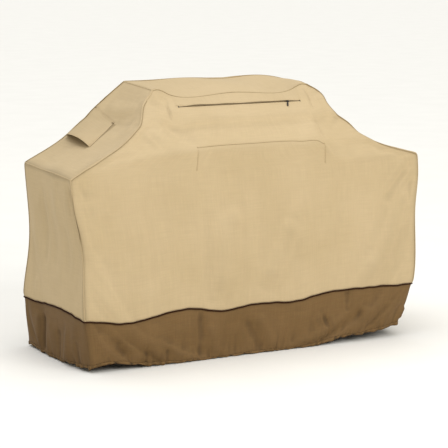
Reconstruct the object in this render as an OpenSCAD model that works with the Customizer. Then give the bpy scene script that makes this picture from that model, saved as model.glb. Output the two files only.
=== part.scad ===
// Fitted cover for a wide cart barbecue: a tall panelled body with a raised hood, side shoulders
// with hooded vents, a zipped pocket under a storm flap, and a dark skirt with an elastic hem.
// Origin: centre of the footprint on the ground. +X runs along the cover, the front faces -Y.

/* [Body] */
// Length over the two shelf edges
body_l = 1780; // [1500:10:2000]
// Depth over the front and rear shelf edges
body_d = 610; // [520:5:760]
// Height of the ridge above the ground
body_h = 1220; // [1140:10:1400]
// Height of the side shelf edges
shelf_h = 872; // [740:2:900]
// Height of the seam where the front turns into the hood
knee_h = 960; // [900:2:1040]
// Length lost at each end between the shelf and the hem
end_taper = 40; // [0:2:60]
// Depth gained at the front and at the rear between the shelf and the hem
hem_flare = 13; // [0:1:30]
// Thickness of the coated cloth
cloth_t = 1.2; // [0.8:0.1:2]

/* [Hood] */
// Length of the ridge
ridge_l = 822; // [760:2:1000]
// Set-back of the ridge's front edge from the front shelf edge
ridge_front = 244; // [150:2:270]
// Set-back of the ridge's rear edge from the rear shelf edge
ridge_rear = 91; // [40:1:150]
// Distance out from the ridge end to the break in the shoulder
shoulder_out = 134; // [90:2:180]
// Height of the break in the shoulder
shoulder_h = 1075; // [1040:5:1110]

/* [Skirt and hem] */
// Height of the piped seam above the ground
band_h = 235; // [160:1:320]
// Diameter of the piping
piping_d = 5; // [3:0.5:7]
// Height of the hem tunnel
hem_h = 22; // [16:1:30]
// Width of the hem tunnel, cloth included
hem_w = 7; // [6.5:0.5:10]
// Diameter of the elastic cord in the hem
elastic_d = 3.6; // [2:0.2:4]

/* [Zipped pocket] */
// Length of the zip
zip_l = 640; // [560:5:680]
// Distance of the zip's middle to the right of the cover's middle
zip_x = 20; // [0:2:40]
// Height of the zip
zip_h = 1152; // [1110:2:1160]
// Distance of the slider to the right of the zip's middle
slider_x = 250; // [-280:2:290]
// Width of the slot between the two cloth edges
slot_w = 12; // [12:1:16]
// Depth of the pocket down the slope
pocket_w = 150; // [90:5:170]
// Gap between the cloth and the pocket's lining
pocket_gap = 5; // [4:0.5:5.5]
// Length of the pull tab
tab_l = 26; // [18:1:34]
// Turn of the pull about its post at rest, so that it hangs straight down
pull_turn = 19; // [0:1:40]

/* [Shoulder vents] */
// Length of each vent flap from front to rear
flap_l = 250; // [150:5:260]
// Width of each vent flap down the slope
flap_w = 170; // [150:5:200]
// Angle at which the vent flaps stand off the slope
flap_lift = 10; // [4:1:16]
// Distance of each vent flap's middle behind the cover's middle
flap_y = 122; // [100:2:140]
// Length of the hole under the flap
vent_l = 210; // [90:5:220]
// Width of the hole under the flap
vent_w = 60; // [40:5:70]

/* [Hidden] */
$fn = 48;

// Outlines as open chains from ground to ground: [y, z] seen from the end, [x, z] seen from the front
wall_y0 = body_d / 2 + hem_flare;
wall_x0 = body_l / 2 - end_taper;
knee_y = wall_y0 - hem_flare * knee_h / shelf_h;
ridge_y = body_d / 2 - ridge_front;
ridge_x = ridge_l / 2;
break_x = ridge_x + shoulder_out;
end_chain = [
    [-wall_y0, 0], [-knee_y, knee_h], [-ridge_y, body_h],
    [body_d / 2 - ridge_rear, body_h], [body_d / 2, shelf_h], [wall_y0, 0]
];
front_chain = [
    [-wall_x0, 0], [-body_l / 2, shelf_h], [-break_x, shoulder_h], [-ridge_x, body_h],
    [ridge_x, body_h], [break_x, shoulder_h], [body_l / 2, shelf_h], [wall_x0, 0]
];

// Hood front: a flat slope from the knee seam to the ridge
slope_a = atan2(body_h - knee_h, knee_y - ridge_y);
slope_l = norm([body_h - knee_h, knee_y - ridge_y]);
zip_v = (zip_h - knee_h) / sin(slope_a);

// Zip: heights are measured out from the cloth's outer face
tape_t = 0.8;
tape_w = 14;
coil_w = 3;
coil_h = 2.2;
coil_gap = 2.4;
run = 0.3;
plate_t = 1.2;
slider_l = 14;
slider_w = 9;
stop_l = 4;
post_r = 1.5;
fit = 0.05;
ring_t = 1.2;
ring_r = 3.2;
ring_drop = 7;
pin_r = 0.8;
pin_l = 8;
tab_w = 7;
tab_t = 2.5;
eye_gap = 2.6;
eye_r = 1.9;
eye_w = eye_gap - 2 * run;
neck_l = 5;
arm_w = 1;
head_t = 0.8;
top_plate_z = coil_h - cloth_t + run;
pin_z = top_plate_z + plate_t + eye_r + run;
ring_z = pin_z - ring_t / 2;
head_z = ring_z + ring_t + run;

// Vents
shoulder_a = atan2(shoulder_h - shelf_h, body_l / 2 - break_x);
hinge_s = 8;
hole_s = 120;
binding_t = 1;
binding_w = 12;
mesh_t = 0.6;

far = 3 * body_l;

function unit(v) = v / norm(v);
function inward(a, b) = let (u = unit(b - a)) [u.y, -u.x];

// Chain moved inward by d: mitred at its corners, kept on the ground at both ends
function inset(c, d) = [
    for (i = [0 : len(c) - 1])
        let (
            first = i == 0,
            last = i == len(c) - 1,
            n1 = first ? inward(c[0], c[1]) : inward(c[i - 1], c[i]),
            n2 = last ? n1 : inward(c[i], c[i + 1])
        )
        first || last ? c[i] + [d / n1.x, 0] : c[i] + (n1 + n2) * d / (1 + n1 * n2)
];

// One wall of a chain as a strip of the cloth's thickness
function strip(c, i) = let (q = inset(c, cloth_t)) [c[i], c[i + 1], q[i + 1], q[i]];

module along_x() rotate([90, 0, 90]) linear_extrude(far, center = true) children();
module along_y() rotate([90, 0, 0]) linear_extrude(far, center = true) children();

module level(z0, z1) translate([-far / 2, -far / 2, z0]) cube([far, far, z1 - z0]);

module envelope(d) {
    intersection() {
        along_x() polygon(inset(end_chain, d));
        along_y() polygon(inset(front_chain, d));
    }
}

// Front, rear and top walls run the full length; end walls fit between them
module long_wall(i) {
    intersection() {
        along_x() polygon(strip(end_chain, i));
        along_y() polygon(front_chain);
    }
}

module end_wall(i) {
    intersection() {
        along_y() polygon(strip(front_chain, i));
        along_x() polygon(inset(end_chain, cloth_t));
    }
}

// Hood slope frame: x along the zip, y up the slope, z out of the cloth, origin at the zip's middle
module on_slope() {
    translate([zip_x, zip_v * cos(slope_a) - knee_y, zip_h]) rotate([slope_a, 0, 0]) children();
}

// Left shoulder frame: x up the slope from the break, y rearward, z out of the cloth
module on_shoulder() {
    translate([-break_x, 0, shoulder_h]) rotate([0, -shoulder_a, 0]) children();
}

module front_panel() {
    color("#CEB88C") intersection() {
        long_wall(0);
        level(band_h, knee_h);
    }
}

module rear_panel() {
    color("#CEB88C") intersection() {
        long_wall(4);
        level(band_h, shelf_h);
    }
}

module side_panel(i) {
    color("#B8A478") intersection() {
        end_wall(i);
        level(band_h, shelf_h);
    }
}

module left_side_panel() side_panel(0);
module right_side_panel() side_panel(6);

module left_shoulder_panel() {
    color("#DEC9A0") difference() {
        end_wall(1);
        on_shoulder() translate([-hole_s - vent_w / 2, flap_y - vent_l / 2, -2 * cloth_t])
            cube([vent_w, vent_l, 4 * cloth_t]);
    }
}

module right_shoulder_panel() mirror([1, 0, 0]) left_shoulder_panel();

module left_ear_panel() color("#DEC9A0") end_wall(2);
module right_ear_panel() color("#DEC9A0") end_wall(4);

// The lower hood cloth reaches past the zip only beyond the zip's two ends
module hood_front_panel() {
    color("#DEC9A0") difference() {
        long_wall(1);
        on_slope() translate([-far / 2, slot_w / 2, -far / 2]) cube(far);
        on_slope() translate([-zip_l / 2, -slot_w / 2, -2 * cloth_t])
            cube([zip_l, 2 * slot_w, 4 * cloth_t]);
    }
}

module zip_header_panel() {
    color("#E4D2A8") intersection() {
        long_wall(1);
        on_slope() translate([-far / 2, slot_w / 2, -far / 2]) cube(far);
    }
}

module top_panel() color("#E4D2A8") long_wall(2);
module hood_rear_panel() color("#DEC9A0") long_wall(3);

module skirt(long, i) {
    color("#80633F") intersection() {
        if (long) long_wall(i);
        else end_wall(i);
        level(hem_h, band_h);
    }
}

module front_skirt() skirt(true, 0);
module rear_skirt() skirt(true, 4);
module left_skirt() skirt(false, 0);
module right_skirt() skirt(false, 6);

// Part of the walls between d0 and d1 inside their outer face, from z0 to z1
module ring(d0, d1, z0, z1) {
    intersection() {
        difference() {
            envelope(d0);
            envelope(d1);
        }
        level(z0, z1);
    }
}

// The bead stands on the outside of the seam between body and skirt
module piping() {
    r = piping_d / 2;
    color("#3A1F0A") ring(-r, 0, band_h - r, band_h + r);
}

// One side of the hem tunnel, mitred into its neighbours: a is the turn of that side
module hem(a, half_l, half_d) {
    color("#6B5030") intersection() {
        difference() {
            ring(0, hem_w, 0, hem_h);
            ring(cloth_t, hem_w - cloth_t, cloth_t, hem_h - cloth_t);
        }
        rotate([0, 0, a]) linear_extrude(body_h)
            polygon([
                [-half_l, -half_d], [half_l, -half_d],
                [half_l - 2 * hem_w, 2 * hem_w - half_d], [2 * hem_w - half_l, 2 * hem_w - half_d]
            ]);
    }
}

module front_hem() hem(0, wall_x0 + hem_w, wall_y0 + hem_w);
module right_hem() hem(90, wall_y0 + hem_w, wall_x0 + hem_w);
module rear_hem() hem(180, wall_x0 + hem_w, wall_y0 + hem_w);
module left_hem() hem(270, wall_y0 + hem_w, wall_x0 + hem_w);

// A closed loop in the middle of the hem tunnel
module elastic_cord() {
    z = hem_h / 2;
    x = wall_x0 + end_taper * z / shelf_h - hem_w / 2;
    y = wall_y0 - hem_flare * z / shelf_h - hem_w / 2;
    r = elastic_d / 2;
    color("#2A2622") for (s = [-1, 1]) {
        translate([-x, s * y, z]) rotate([0, 90, 0]) cylinder(h = 2 * x, r = r);
        translate([s * x, -y, z]) rotate([-90, 0, 0]) cylinder(h = 2 * y, r = r);
        for (t = [-1, 1]) translate([s * x, t * y, z]) sphere(r = r);
    }
}

// The flap is sewn along its upper edge, at the ridge, and lies over the header
module storm_flap() {
    low = slot_w / 2 + 1;
    color("#E4D2A8") on_slope() translate([-zip_l / 2 - 10, low, run])
        cube([zip_l + 20, slope_l - zip_v - low, cloth_t]);
}

// A shallow bag sewn to the inside of the hood, open to the zip slot
module pocket_lining() {
    top = slot_w / 2 + tape_w;
    color("#3C3A36") on_slope() translate([-zip_l / 2 - 8, top - pocket_w, -pocket_gap - 2 * cloth_t])
        difference() {
            cube([zip_l + 16, pocket_w, pocket_gap + cloth_t]);
            translate([cloth_t, cloth_t, cloth_t])
                cube([zip_l + 16 - 2 * cloth_t, pocket_w - 2 * cloth_t, pocket_gap + cloth_t]);
        }
}

// Tape and coil on one side of the slot: s is 1 above it and -1 below it
module zip_tape(s) {
    color("#4A3624") on_slope() mirror([0, s < 0 ? 1 : 0, 0])
        translate([-zip_l / 2, coil_gap / 2, -cloth_t - tape_t]) cube([zip_l, tape_w, tape_t]);
}

module zip_coil(s) {
    color("#2E1C0E") on_slope() mirror([0, s < 0 ? 1 : 0, 0])
        translate([-zip_l / 2 + stop_l, coil_gap / 2, -cloth_t])
            cube([zip_l - 2 * stop_l, coil_w, coil_h]);
}

module upper_zip_tape() zip_tape(1);
module lower_zip_tape() zip_tape(-1);
module upper_zip_coil() zip_coil(1);
module lower_zip_coil() zip_coil(-1);

module zip_stop(x) {
    color("#5A5048") on_slope() translate([x, -coil_gap / 2 - coil_w, -cloth_t])
        cube([stop_l, coil_gap + 2 * coil_w, coil_h]);
}

module zip_bottom_stop() zip_stop(-zip_l / 2);
module zip_top_stop() zip_stop(zip_l / 2 - stop_l);

// Two plates joined by a web that runs between the coils, with a headed post for the pull
module zip_slider() {
    under = -cloth_t - tape_t - run - plate_t;
    color("#26201A") on_slope() translate([slider_x, 0, 0]) {
        translate([-slider_l / 2, -slider_w / 2, under]) cube([slider_l, slider_w, plate_t]);
        translate([-slider_l / 2, -slider_w / 2, top_plate_z]) cube([slider_l, slider_w, plate_t]);
        translate([-slider_l / 2, run - coil_gap / 2, under])
            cube([slider_l, coil_gap - 2 * run, top_plate_z + plate_t - under]);
        translate([0, 0, top_plate_z]) cylinder(h = head_z - top_plate_z, r = post_r);
        translate([0, 0, head_z]) cylinder(h = head_t, r = post_r + head_t);
    }
}

// A ring that swivels on the post and carries a cross pin for the tab
module pull_link() {
    color("#26201A") on_slope() translate([slider_x, 0, 0]) rotate([0, 0, -pull_turn]) difference() {
        union() {
            translate([0, 0, ring_z]) cylinder(h = ring_t, r = ring_r);
            for (s = [-1, 1])
                translate([s * (eye_gap + arm_w) / 2 - arm_w / 2, -ring_drop, ring_z])
                    cube([arm_w, ring_drop - post_r - 2 * run, ring_t]);
            translate([-pin_l / 2, -ring_drop, pin_z]) rotate([0, 90, 0]) cylinder(h = pin_l, r = pin_r);
        }
        translate([0, 0, ring_z - 1]) cylinder(h = ring_t + 2, r = post_r + fit);
    }
}

// The tab hangs from the pin by one eye and widens below it
module pull_tab() {
    color("#1E1812") on_slope() translate([slider_x, 0, 0]) rotate([0, 0, -pull_turn])
        translate([0, -ring_drop, pin_z]) difference() {
        union() {
            rotate([0, 90, 0]) cylinder(h = eye_w, r = eye_r, center = true);
            translate([0, 0, -tab_t / 2]) linear_extrude(tab_t) {
                translate([-eye_w / 2, -neck_l - 1]) square([eye_w, neck_l + 1]);
                translate([-tab_w / 2, tab_w / 2 - tab_l])
                    square([tab_w, tab_l - neck_l - tab_w / 2]);
                translate([0, tab_w / 2 - tab_l]) circle(d = tab_w);
            }
        }
        rotate([0, 90, 0]) cylinder(h = tab_w, r = pin_r + fit, center = true);
    }
}

module left_vent_flap() {
    color("#DEC9A0") on_shoulder() translate([-hinge_s, flap_y - flap_l / 2, binding_t + run])
        rotate([0, flap_lift, 0]) translate([-flap_w, 0, 0]) cube([flap_w, flap_l, cloth_t]);
}

module left_vent_binding() {
    color("#B8A478") on_shoulder() translate([-hole_s, flap_y, 0]) linear_extrude(binding_t)
        difference() {
            square([vent_w + 2 * binding_w, vent_l + 2 * binding_w], center = true);
            square([vent_w, vent_l], center = true);
        }
}

module left_vent_mesh() {
    color("#4A4438") on_shoulder() translate([-hole_s, flap_y, -cloth_t - mesh_t / 2])
        cube([vent_w + binding_w, vent_l + binding_w, mesh_t], center = true);
}

module right_vent_flap() mirror([1, 0, 0]) left_vent_flap();
module right_vent_binding() mirror([1, 0, 0]) left_vent_binding();
module right_vent_mesh() mirror([1, 0, 0]) left_vent_mesh();

front_panel();
rear_panel();
left_side_panel();
right_side_panel();
left_shoulder_panel();
right_shoulder_panel();
left_ear_panel();
right_ear_panel();
hood_front_panel();
zip_header_panel();
top_panel();
hood_rear_panel();
front_skirt();
rear_skirt();
left_skirt();
right_skirt();
piping();
front_hem();
rear_hem();
left_hem();
right_hem();
elastic_cord();
storm_flap();
pocket_lining();
upper_zip_tape();
lower_zip_tape();
upper_zip_coil();
lower_zip_coil();
zip_top_stop();
zip_bottom_stop();
zip_slider();
pull_link();
pull_tab();
left_vent_flap();
right_vent_flap();
left_vent_binding();
right_vent_binding();
left_vent_mesh();
right_vent_mesh();
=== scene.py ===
import bpy
import math
import numpy as np
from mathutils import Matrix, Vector
from mathutils.bvhtree import BVHTree


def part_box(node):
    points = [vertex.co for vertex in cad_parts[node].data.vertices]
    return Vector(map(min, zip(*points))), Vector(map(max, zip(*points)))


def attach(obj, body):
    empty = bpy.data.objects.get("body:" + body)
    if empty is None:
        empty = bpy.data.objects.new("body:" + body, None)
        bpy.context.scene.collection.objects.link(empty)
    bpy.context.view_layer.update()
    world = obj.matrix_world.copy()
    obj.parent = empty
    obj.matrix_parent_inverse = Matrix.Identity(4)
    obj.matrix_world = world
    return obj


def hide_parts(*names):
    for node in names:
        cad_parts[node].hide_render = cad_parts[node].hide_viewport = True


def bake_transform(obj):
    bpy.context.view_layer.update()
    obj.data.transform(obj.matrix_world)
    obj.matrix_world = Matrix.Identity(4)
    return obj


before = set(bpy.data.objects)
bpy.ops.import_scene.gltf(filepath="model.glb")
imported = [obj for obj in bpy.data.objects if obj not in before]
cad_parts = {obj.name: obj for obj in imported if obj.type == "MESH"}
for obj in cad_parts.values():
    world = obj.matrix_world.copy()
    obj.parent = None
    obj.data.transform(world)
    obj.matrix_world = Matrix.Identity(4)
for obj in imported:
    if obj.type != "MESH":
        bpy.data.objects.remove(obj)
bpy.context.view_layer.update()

# small helpers


# the linear colour of a hex one
def linear(hexColour):
    rgb = [int(hexColour[i:i + 2], 16) / 255 for i in (1, 3, 5)]
    return tuple(c / 12.92 if c <= 0.04045 else ((c + 0.055) / 1.055) ** 2.4 for c in rgb) + (1.0,)


def add(tree, kind, settings=None, inputs=None, links=None):
    node = tree.nodes.new(kind)
    for key, value in (settings or {}).items():
        setattr(node, key, value)
    for key, value in (inputs or {}).items():
        node.inputs[key].default_value = value
    for key, source in (links or {}).items():
        tree.links.new(source, node.inputs[key])
    return node


# an object of its own in the scene
def newObject(name, data):
    obj = bpy.data.objects.new(name, data)
    bpy.context.scene.collection.objects.link(obj)
    return obj


def smooth(t):
    t = np.clip(t, 0.0, 1.0)
    return t * t * (3 - 2 * t)


def bump(x, centre, halfWidth):
    return np.exp(-((np.asarray(x) - centre) / halfWidth) ** 2)


# a smooth line through a few points, read as y at x
def line(points):
    x, y = (np.array(v, float) for v in zip(*points))
    slope = np.gradient(y, x)

    def at(q):
        q = np.clip(q, x[0], x[-1])
        i = np.clip(np.searchsorted(x, q) - 1, 0, len(x) - 2)
        h = x[i + 1] - x[i]
        t = (q - x[i]) / h
        a = (1 + 2 * t) * (1 - t) ** 2 * y[i] + t * (1 - t) ** 2 * h * slope[i]
        return a + t * t * (3 - 2 * t) * y[i + 1] + t * t * (t - 1) * h * slope[i + 1]

    return at


# smooth seeded noise from a handful of waves, about -1 to 1
def waves(seed, sizeU, sizeV, count=14):
    rng = np.random.default_rng(seed)
    turn = rng.uniform(0, 2 * math.pi, count)
    shift = rng.uniform(0, 2 * math.pi, count)
    rate = rng.uniform(0.5, 1.5, count)

    def at(u, v):
        total = 0
        for a, s, r in zip(turn, shift, rate):
            total = total + np.sin(2 * math.pi * r * (np.cos(a) * u / sizeU + np.sin(a) * v / sizeV) + s)
        return total / math.sqrt(count)

    return at


# a smooth mesh with its cloth lengths, normals and named values at each corner
def makeMesh(name, corners, faces, material, uv=None, normals=None, floats=None):
    mesh = bpy.data.meshes.new(name)
    mesh.from_pydata(np.asarray(corners).tolist(), [], [list(map(int, f)) for f in faces])
    mesh.polygons.foreach_set("use_smooth", [True] * len(mesh.polygons))
    if uv is not None:
        index = np.zeros(len(mesh.loops), int)
        mesh.loops.foreach_get("vertex_index", index)
        mesh.uv_layers.new(name="cloth").data.foreach_set("uv", np.asarray(uv)[index].ravel())
    for key, values in (floats or {}).items():
        mesh.attributes.new(key, "FLOAT", "POINT").data.foreach_set("value", np.asarray(values, np.float32))
    if normals is not None:
        mesh.normals_split_custom_set_from_vertices(np.asarray(normals).tolist())
    mesh.materials.append(material)
    return newObject(name, mesh)


# the body it rides on, its colour slot, which is not used, and the CAD nodes that it stands for
def place(obj, body, slot, *nodes):
    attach(obj, body)
    if nodes:
        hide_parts(*nodes)
    return obj


def unit(v):
    return v / np.maximum(np.linalg.norm(v, axis=-1, keepdims=True), 1e-12)


# the way gone at each point of a path
def lengthAlong(path):
    return np.concatenate([[0], np.cumsum(np.linalg.norm(np.diff(path, axis=0), axis=1))])


# rows of values read at q, where the rows themselves stand at x
def between(q, x, values):
    return np.stack([np.interp(q, x, column) for column in values.T], -1)


# quads of an open grid of n by m points; across=True takes the second direction first
def gridQuads(n, m, across=False):
    ids = np.arange(n * m).reshape(n, m)
    second, fourth = (ids[:-1, 1:], ids[1:, :-1]) if across else (ids[1:, :-1], ids[:-1, 1:])
    return np.stack([ids[:-1, :-1], second, ids[1:, 1:], fourth], -1).reshape(-1, 4)


# camera, light, floor

view = dict(place=(-3.68, -7.25, 1.965), turn=26.9, dip=9.76, lens=139)
camera = newObject("camera", bpy.data.cameras.new("camera"))
camera.location = view["place"]
camera.rotation_euler = (math.radians(90 - view["dip"]), 0, math.radians(-view["turn"]))
camera.data.lens = view["lens"]
camera.data.sensor_width = 36
camera.data.clip_end = 100
bpy.context.scene.camera = camera
bpy.context.scene.view_settings.view_transform = "Standard"

light = dict(sky="#FFFBF0", skyPower=0.76, keyPower=490, keySize=5.0, keyPlace=(2.6, -8.6, 6.0),
             overhead="#E9F0FF", overheadPower=1.85, overheadFrom=(-0.17, 0.05, 1.0),
             overheadSpread=70)
world = bpy.data.worlds.new("studio")
bpy.context.scene.world = world
world.use_nodes = True
world.node_tree.nodes["Background"].inputs["Color"].default_value = linear(light["sky"])
world.node_tree.nodes["Background"].inputs["Strength"].default_value = light["skyPower"]


def areaLight(name, place, target, power, width):
    lamp = bpy.data.lights.new(name, "AREA")
    lamp.energy = power
    lamp.size = width
    obj = newObject(name, lamp)
    obj.location = place
    obj.rotation_euler = (Vector(target) - Vector(place)).to_track_quat("-Z", "Y").to_euler()


areaLight("keyLight", light["keyPlace"], (0, 0, 0.7), light["keyPower"], light["keySize"])
overhead = bpy.data.lights.new("overheadLight", "SUN")
overhead.energy = light["overheadPower"]
overhead.color = linear(light["overhead"])[:3]
overhead.angle = math.radians(light["overheadSpread"])
overheadObject = newObject("overheadLight", overhead)
overheadObject.rotation_euler = Vector(light["overheadFrom"]).to_track_quat("Z", "Y").to_euler()
print("stage ready")

# sizes from the frame

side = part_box("left_side_panel")
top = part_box("top_panel")
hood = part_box("hood_rear_panel")
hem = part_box("front_hem")
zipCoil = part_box("upper_zip_coil")
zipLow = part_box("lower_zip_coil")
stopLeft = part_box("zip_bottom_stop")
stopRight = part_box("zip_top_stop")

size = dict(
    halfL=-side[0][0], halfD=hood[1][1], bandZ=side[0][2], shelfZ=side[1][2], ridgeZ=top[1][2],
    ridgeFront=top[0][1], ridgeRear=top[1][1], hemZ=hem[1][2], kneeZ=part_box("front_panel")[1][2],
    seamZ=0.968, slot=0.0024,
    zipLeft=stopLeft[0][0], zipRight=stopRight[1][0],
    zipY=(zipCoil[0][1] + zipLow[1][1]) / 2, zipZ=(zipCoil[0][2] + zipLow[1][2]) / 2,
    cloth=0.0012,
)
slopeAngle = math.atan2(size["ridgeZ"] - size["kneeZ"], size["ridgeFront"] + size["halfD"])
up = np.array([0, math.cos(slopeAngle), math.sin(slopeAngle)])      # up the hood's front slope
out = np.array([0, -math.sin(slopeAngle), math.cos(slopeAngle)])    # out of it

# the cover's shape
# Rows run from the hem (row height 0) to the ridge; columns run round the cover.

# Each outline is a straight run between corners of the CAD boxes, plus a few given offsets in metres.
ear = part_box("left_ear_panel")
cornerLine = [(0, size["halfL"]), (size["shelfZ"], size["halfL"]), (ear[0][2], -ear[0][0]),
              (size["ridgeZ"], top[1][0])]


def besideCorner(offsets):
    heights, halves = zip(*cornerLine)
    extra = line(offsets)
    return lambda w: np.interp(w, heights, halves) + extra(w)


shape = dict(
    # half length at the upright corners, by height: the cloth wavers and the hem is drawn in
    leftFront=besideCorner([(0, -.05), (.24, -.03), (.60, -.02), (.75, .01), (.87, .02)]),
    rightFront=besideCorner([(0, -.09), (.12, -.055), (.24, -.03), (.60, -.015), (.80, .005), (.87, 0)]),
    leftRear=besideCorner([(0, 0), (.24, .01), (.56, -.02), (.87, 0)]),
    rightRear=besideCorner([(0, -.03), (.24, 0), (.50, -.02), (.87, 0)]),
    # half length of the shoulders above the shelf edge, which sag between the shelf and the ridge
    leftShoulder=besideCorner([(.87, .02), (.91, .005), (.98, -.03), (1.08, -.02), (1.18, .005),
                               (1.22, -.01)]),
    rightShoulder=besideCorner([(.87, 0), (.92, -.08), (.98, -.09), (1.04, -.035), (1.12, -.01), (1.19, .02),
                                (1.22, 0)]),
    leftRearShoulder=besideCorner([(.87, 0), (.98, .015), (1.08, .06), (1.15, .05), (1.22, .01)]),
    rightRearShoulder=besideCorner([(.87, 0), (.95, 0), (1.04, .035), (1.13, .075), (1.22, .06)]),
    # how far the walls stand out from the shelf line
    frontOut=line([(0, .01), (.20, .025), (.45, .02), (.70, .005), (.87, 0)]),
    rearOut=line([(0, .02), (.24, .03), (.45, .015), (.87, 0)]),
    # drop of the soft fold between the front wall and the hood, from the CAD's own fold line
    kneeDrop=line([(-.90, -.09), (-.74, -.045), (-.50, -.005), (0, .02), (.25, .015), (.37, 0), (.42, -.045),
                   (.50, -.075), (.62, -.085), (.90, -.09)]),
    # lift of the piped seam and of the hem, along the front and along the ends
    bandFront=line([(-.85, 0), (-.65, -.02), (-.32, .01), (-.18, -.015), (0, 0), (.25, -.005), (.35, .015),
                    (.50, .025), (.85, .015)]),
    bandEnd=line([(-.32, 0), (-.22, .01), (.06, .01), (.20, -.005), (.33, -.005)]),
    hemFront=line([(-.84, .01), (-.77, .025), (-.60, .005), (0, 0), (.35, .005), (.45, .02), (.60, .02),
                   (.80, .05)]),
    hemEnd=line([(-.32, .01), (-.20, .005), (0, 0), (.20, 0), (.33, .005)]),
    # lift of the ridge's front edge, which sags between two pointed ears, and of its rear edge
    ridgeFront=line([(-.42, -.005), (-.38, .005), (-.31, -.025), (0, -.025), (.31, -.025), (.38, .005),
                     (.42, 0)]),
    ridgeRear=line([(-.43, .02), (0, .02), (.38, .01), (.47, -.01)]),
    rise=.008, rightRise=.013,
)
shape["knee"] = lambda x: size["kneeZ"] + shape["kneeDrop"](x)

grid = dict(front=240, end=84, wall=70, skirt=36, hood=66)


# every row height, with rows set exactly on the two edges of the zip slot
def rowHeights():
    slot = size["slot"] * math.sin(slopeAngle)
    low, high = size["zipZ"] - slot, size["zipZ"] + slot
    below = int(grid["hood"] * (low - size["shelfZ"]) / (size["ridgeZ"] - size["shelfZ"]))
    parts = [
        np.linspace(0, size["hemZ"], 5)[:-1],
        np.linspace(size["hemZ"], size["bandZ"], grid["skirt"])[:-1],
        np.linspace(size["bandZ"], size["shelfZ"], grid["wall"])[:-1],
        np.linspace(size["shelfZ"], low, below)[:-1],
        [low, size["zipZ"], high],
        np.linspace(high, size["ridgeZ"], grid["hood"] - below)[1:],
    ]
    return np.concatenate(parts)


rows = rowHeights()
hemRow, bandRow, shelfRow = (int(np.argmin(abs(rows - size[k]))) for k in ("hemZ", "bandZ", "shelfZ"))
kneeRow = int(np.argmin(abs(rows - size["seamZ"])))
zipRow = int(np.argmin(abs(rows - size["zipZ"])))


# the half length at an upright corner: the wall's line below the shelf edge, the shoulder's above
def corner(w, wall, shoulder):
    return np.where(w <= size["shelfZ"], shape[wall](w), shape[shoulder](w))


# how far the front has gone back at height w: nothing below the knee, the hood's slope above it
def frontDepth(x, w):
    knee = shape["knee"](x)
    middle = smooth((0.46 - abs(x - 0.02)) / 0.12)          # where the slope must pass through the zip
    zipShare = (size["zipY"] + size["halfD"]) / (size["ridgeFront"] + size["halfD"])
    rise = size["ridgeZ"] - knee
    t = (w - knee) / rise
    soft = 0.006 / rise
    t = soft * np.logaddexp(0, t / soft)                     # the fold is rounded
    tZip = (size["zipZ"] - knee) / rise
    bent = np.where(t < tZip, t * zipShare / tZip, zipShare + (t - tZip) * (1 - zipShare) / (1 - tZip))
    return (size["ridgeFront"] + size["halfD"]) * np.clip(t * (1 - middle) + bent * middle, 0, 1.0)


# the lift of a row, run between those of the hem, the band, the shelf, the zip and the ridge
def lift(w, hemLift, bandLift, ridgeLift, zipLift):
    keys = np.array([0, size["bandZ"], size["shelfZ"], size["zipZ"], size["ridgeZ"]])
    rise = shape["rise"]
    values = [hemLift, bandLift + rise, rise + 0 * bandLift, zipLift, ridgeLift + rise]
    i = np.clip(np.searchsorted(keys, w, side="right") - 1, 0, 3)
    t = (w - keys[i]) / (keys[i + 1] - keys[i])
    return values[i] * (1 - t) + values[i + 1] * t


# the position of column u (0 to 1 along one side) on the row of height w
def onFront(u, w):
    left = -corner(w, "leftFront", "leftShoulder")
    right = corner(w, "rightFront", "rightShoulder")
    x = left + (right - left) * u
    y = -size["halfD"] - shape["frontOut"](w) + frontDepth(x, w)
    zipLift = shape["rise"] * smooth((abs(x - 0.02) - 0.36) / 0.08)
    z = w + lift(w, shape["hemFront"](x), shape["bandFront"](x), shape["ridgeFront"](x), zipLift)
    z = z + shape["rightRise"] * smooth((x - 0.45) / 0.35) * bump(w, size["shelfZ"], 0.10)
    return np.stack([x, y, z], -1)


def onRear(u, w):
    left = -corner(w, "leftRear", "leftRearShoulder")
    right = corner(w, "rightRear", "rightRearShoulder")
    x = right + (left - right) * u
    t = np.clip((w - size["shelfZ"]) / (size["ridgeZ"] - size["shelfZ"]), 0, 1)
    y = 0 * x + size["halfD"] + shape["rearOut"](w) - (size["halfD"] - size["ridgeRear"]) * t
    z = w + lift(w, 0.004 + 0 * x, 0.004 * np.sin(9 * x), shape["ridgeRear"](x), shape["rise"] + 0 * x)
    return np.stack([x, y, z], -1)


def onEnd(u, w, rightSide):
    a = onFront(np.array(1.0 if rightSide else 0.0), w)
    b = onRear(np.array(0.0 if rightSide else 1.0), w)
    v = u if rightSide else 1 - u
    p = a + (b - a) * v[:, None]
    if w < size["shelfZ"]:
        y = p[:, 1]
        wave = [shape[k](y) - shape[k](a[1]) * (1 - v) - shape[k](b[1]) * v for k in ("hemEnd", "bandEnd")]
        p[:, 2] += lift(w, wave[0], wave[1], 0.0, 0.0) - lift(w, 0.0, 0.0, 0.0, 0.0)
        fall = 0.010 * math.sin(math.pi * w / size["shelfZ"]) * 4 * v * (1 - v)
        p[:, 0] -= fall if rightSide else -fall              # end walls fall in a little
    return p


def buildLoop():
    uf = np.arange(grid["front"]) / grid["front"]
    ue = np.arange(grid["end"]) / grid["end"]
    return np.array([
        np.concatenate([onFront(uf, w), onEnd(ue, w, True), onRear(uf, w), onEnd(ue, w, False)])
        for w in rows
    ])


loop = buildLoop()                                           # rows x columns x 3
nRows, nCols = loop.shape[:2]
print("walls laid out:", nRows, "rows of", nCols)


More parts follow.
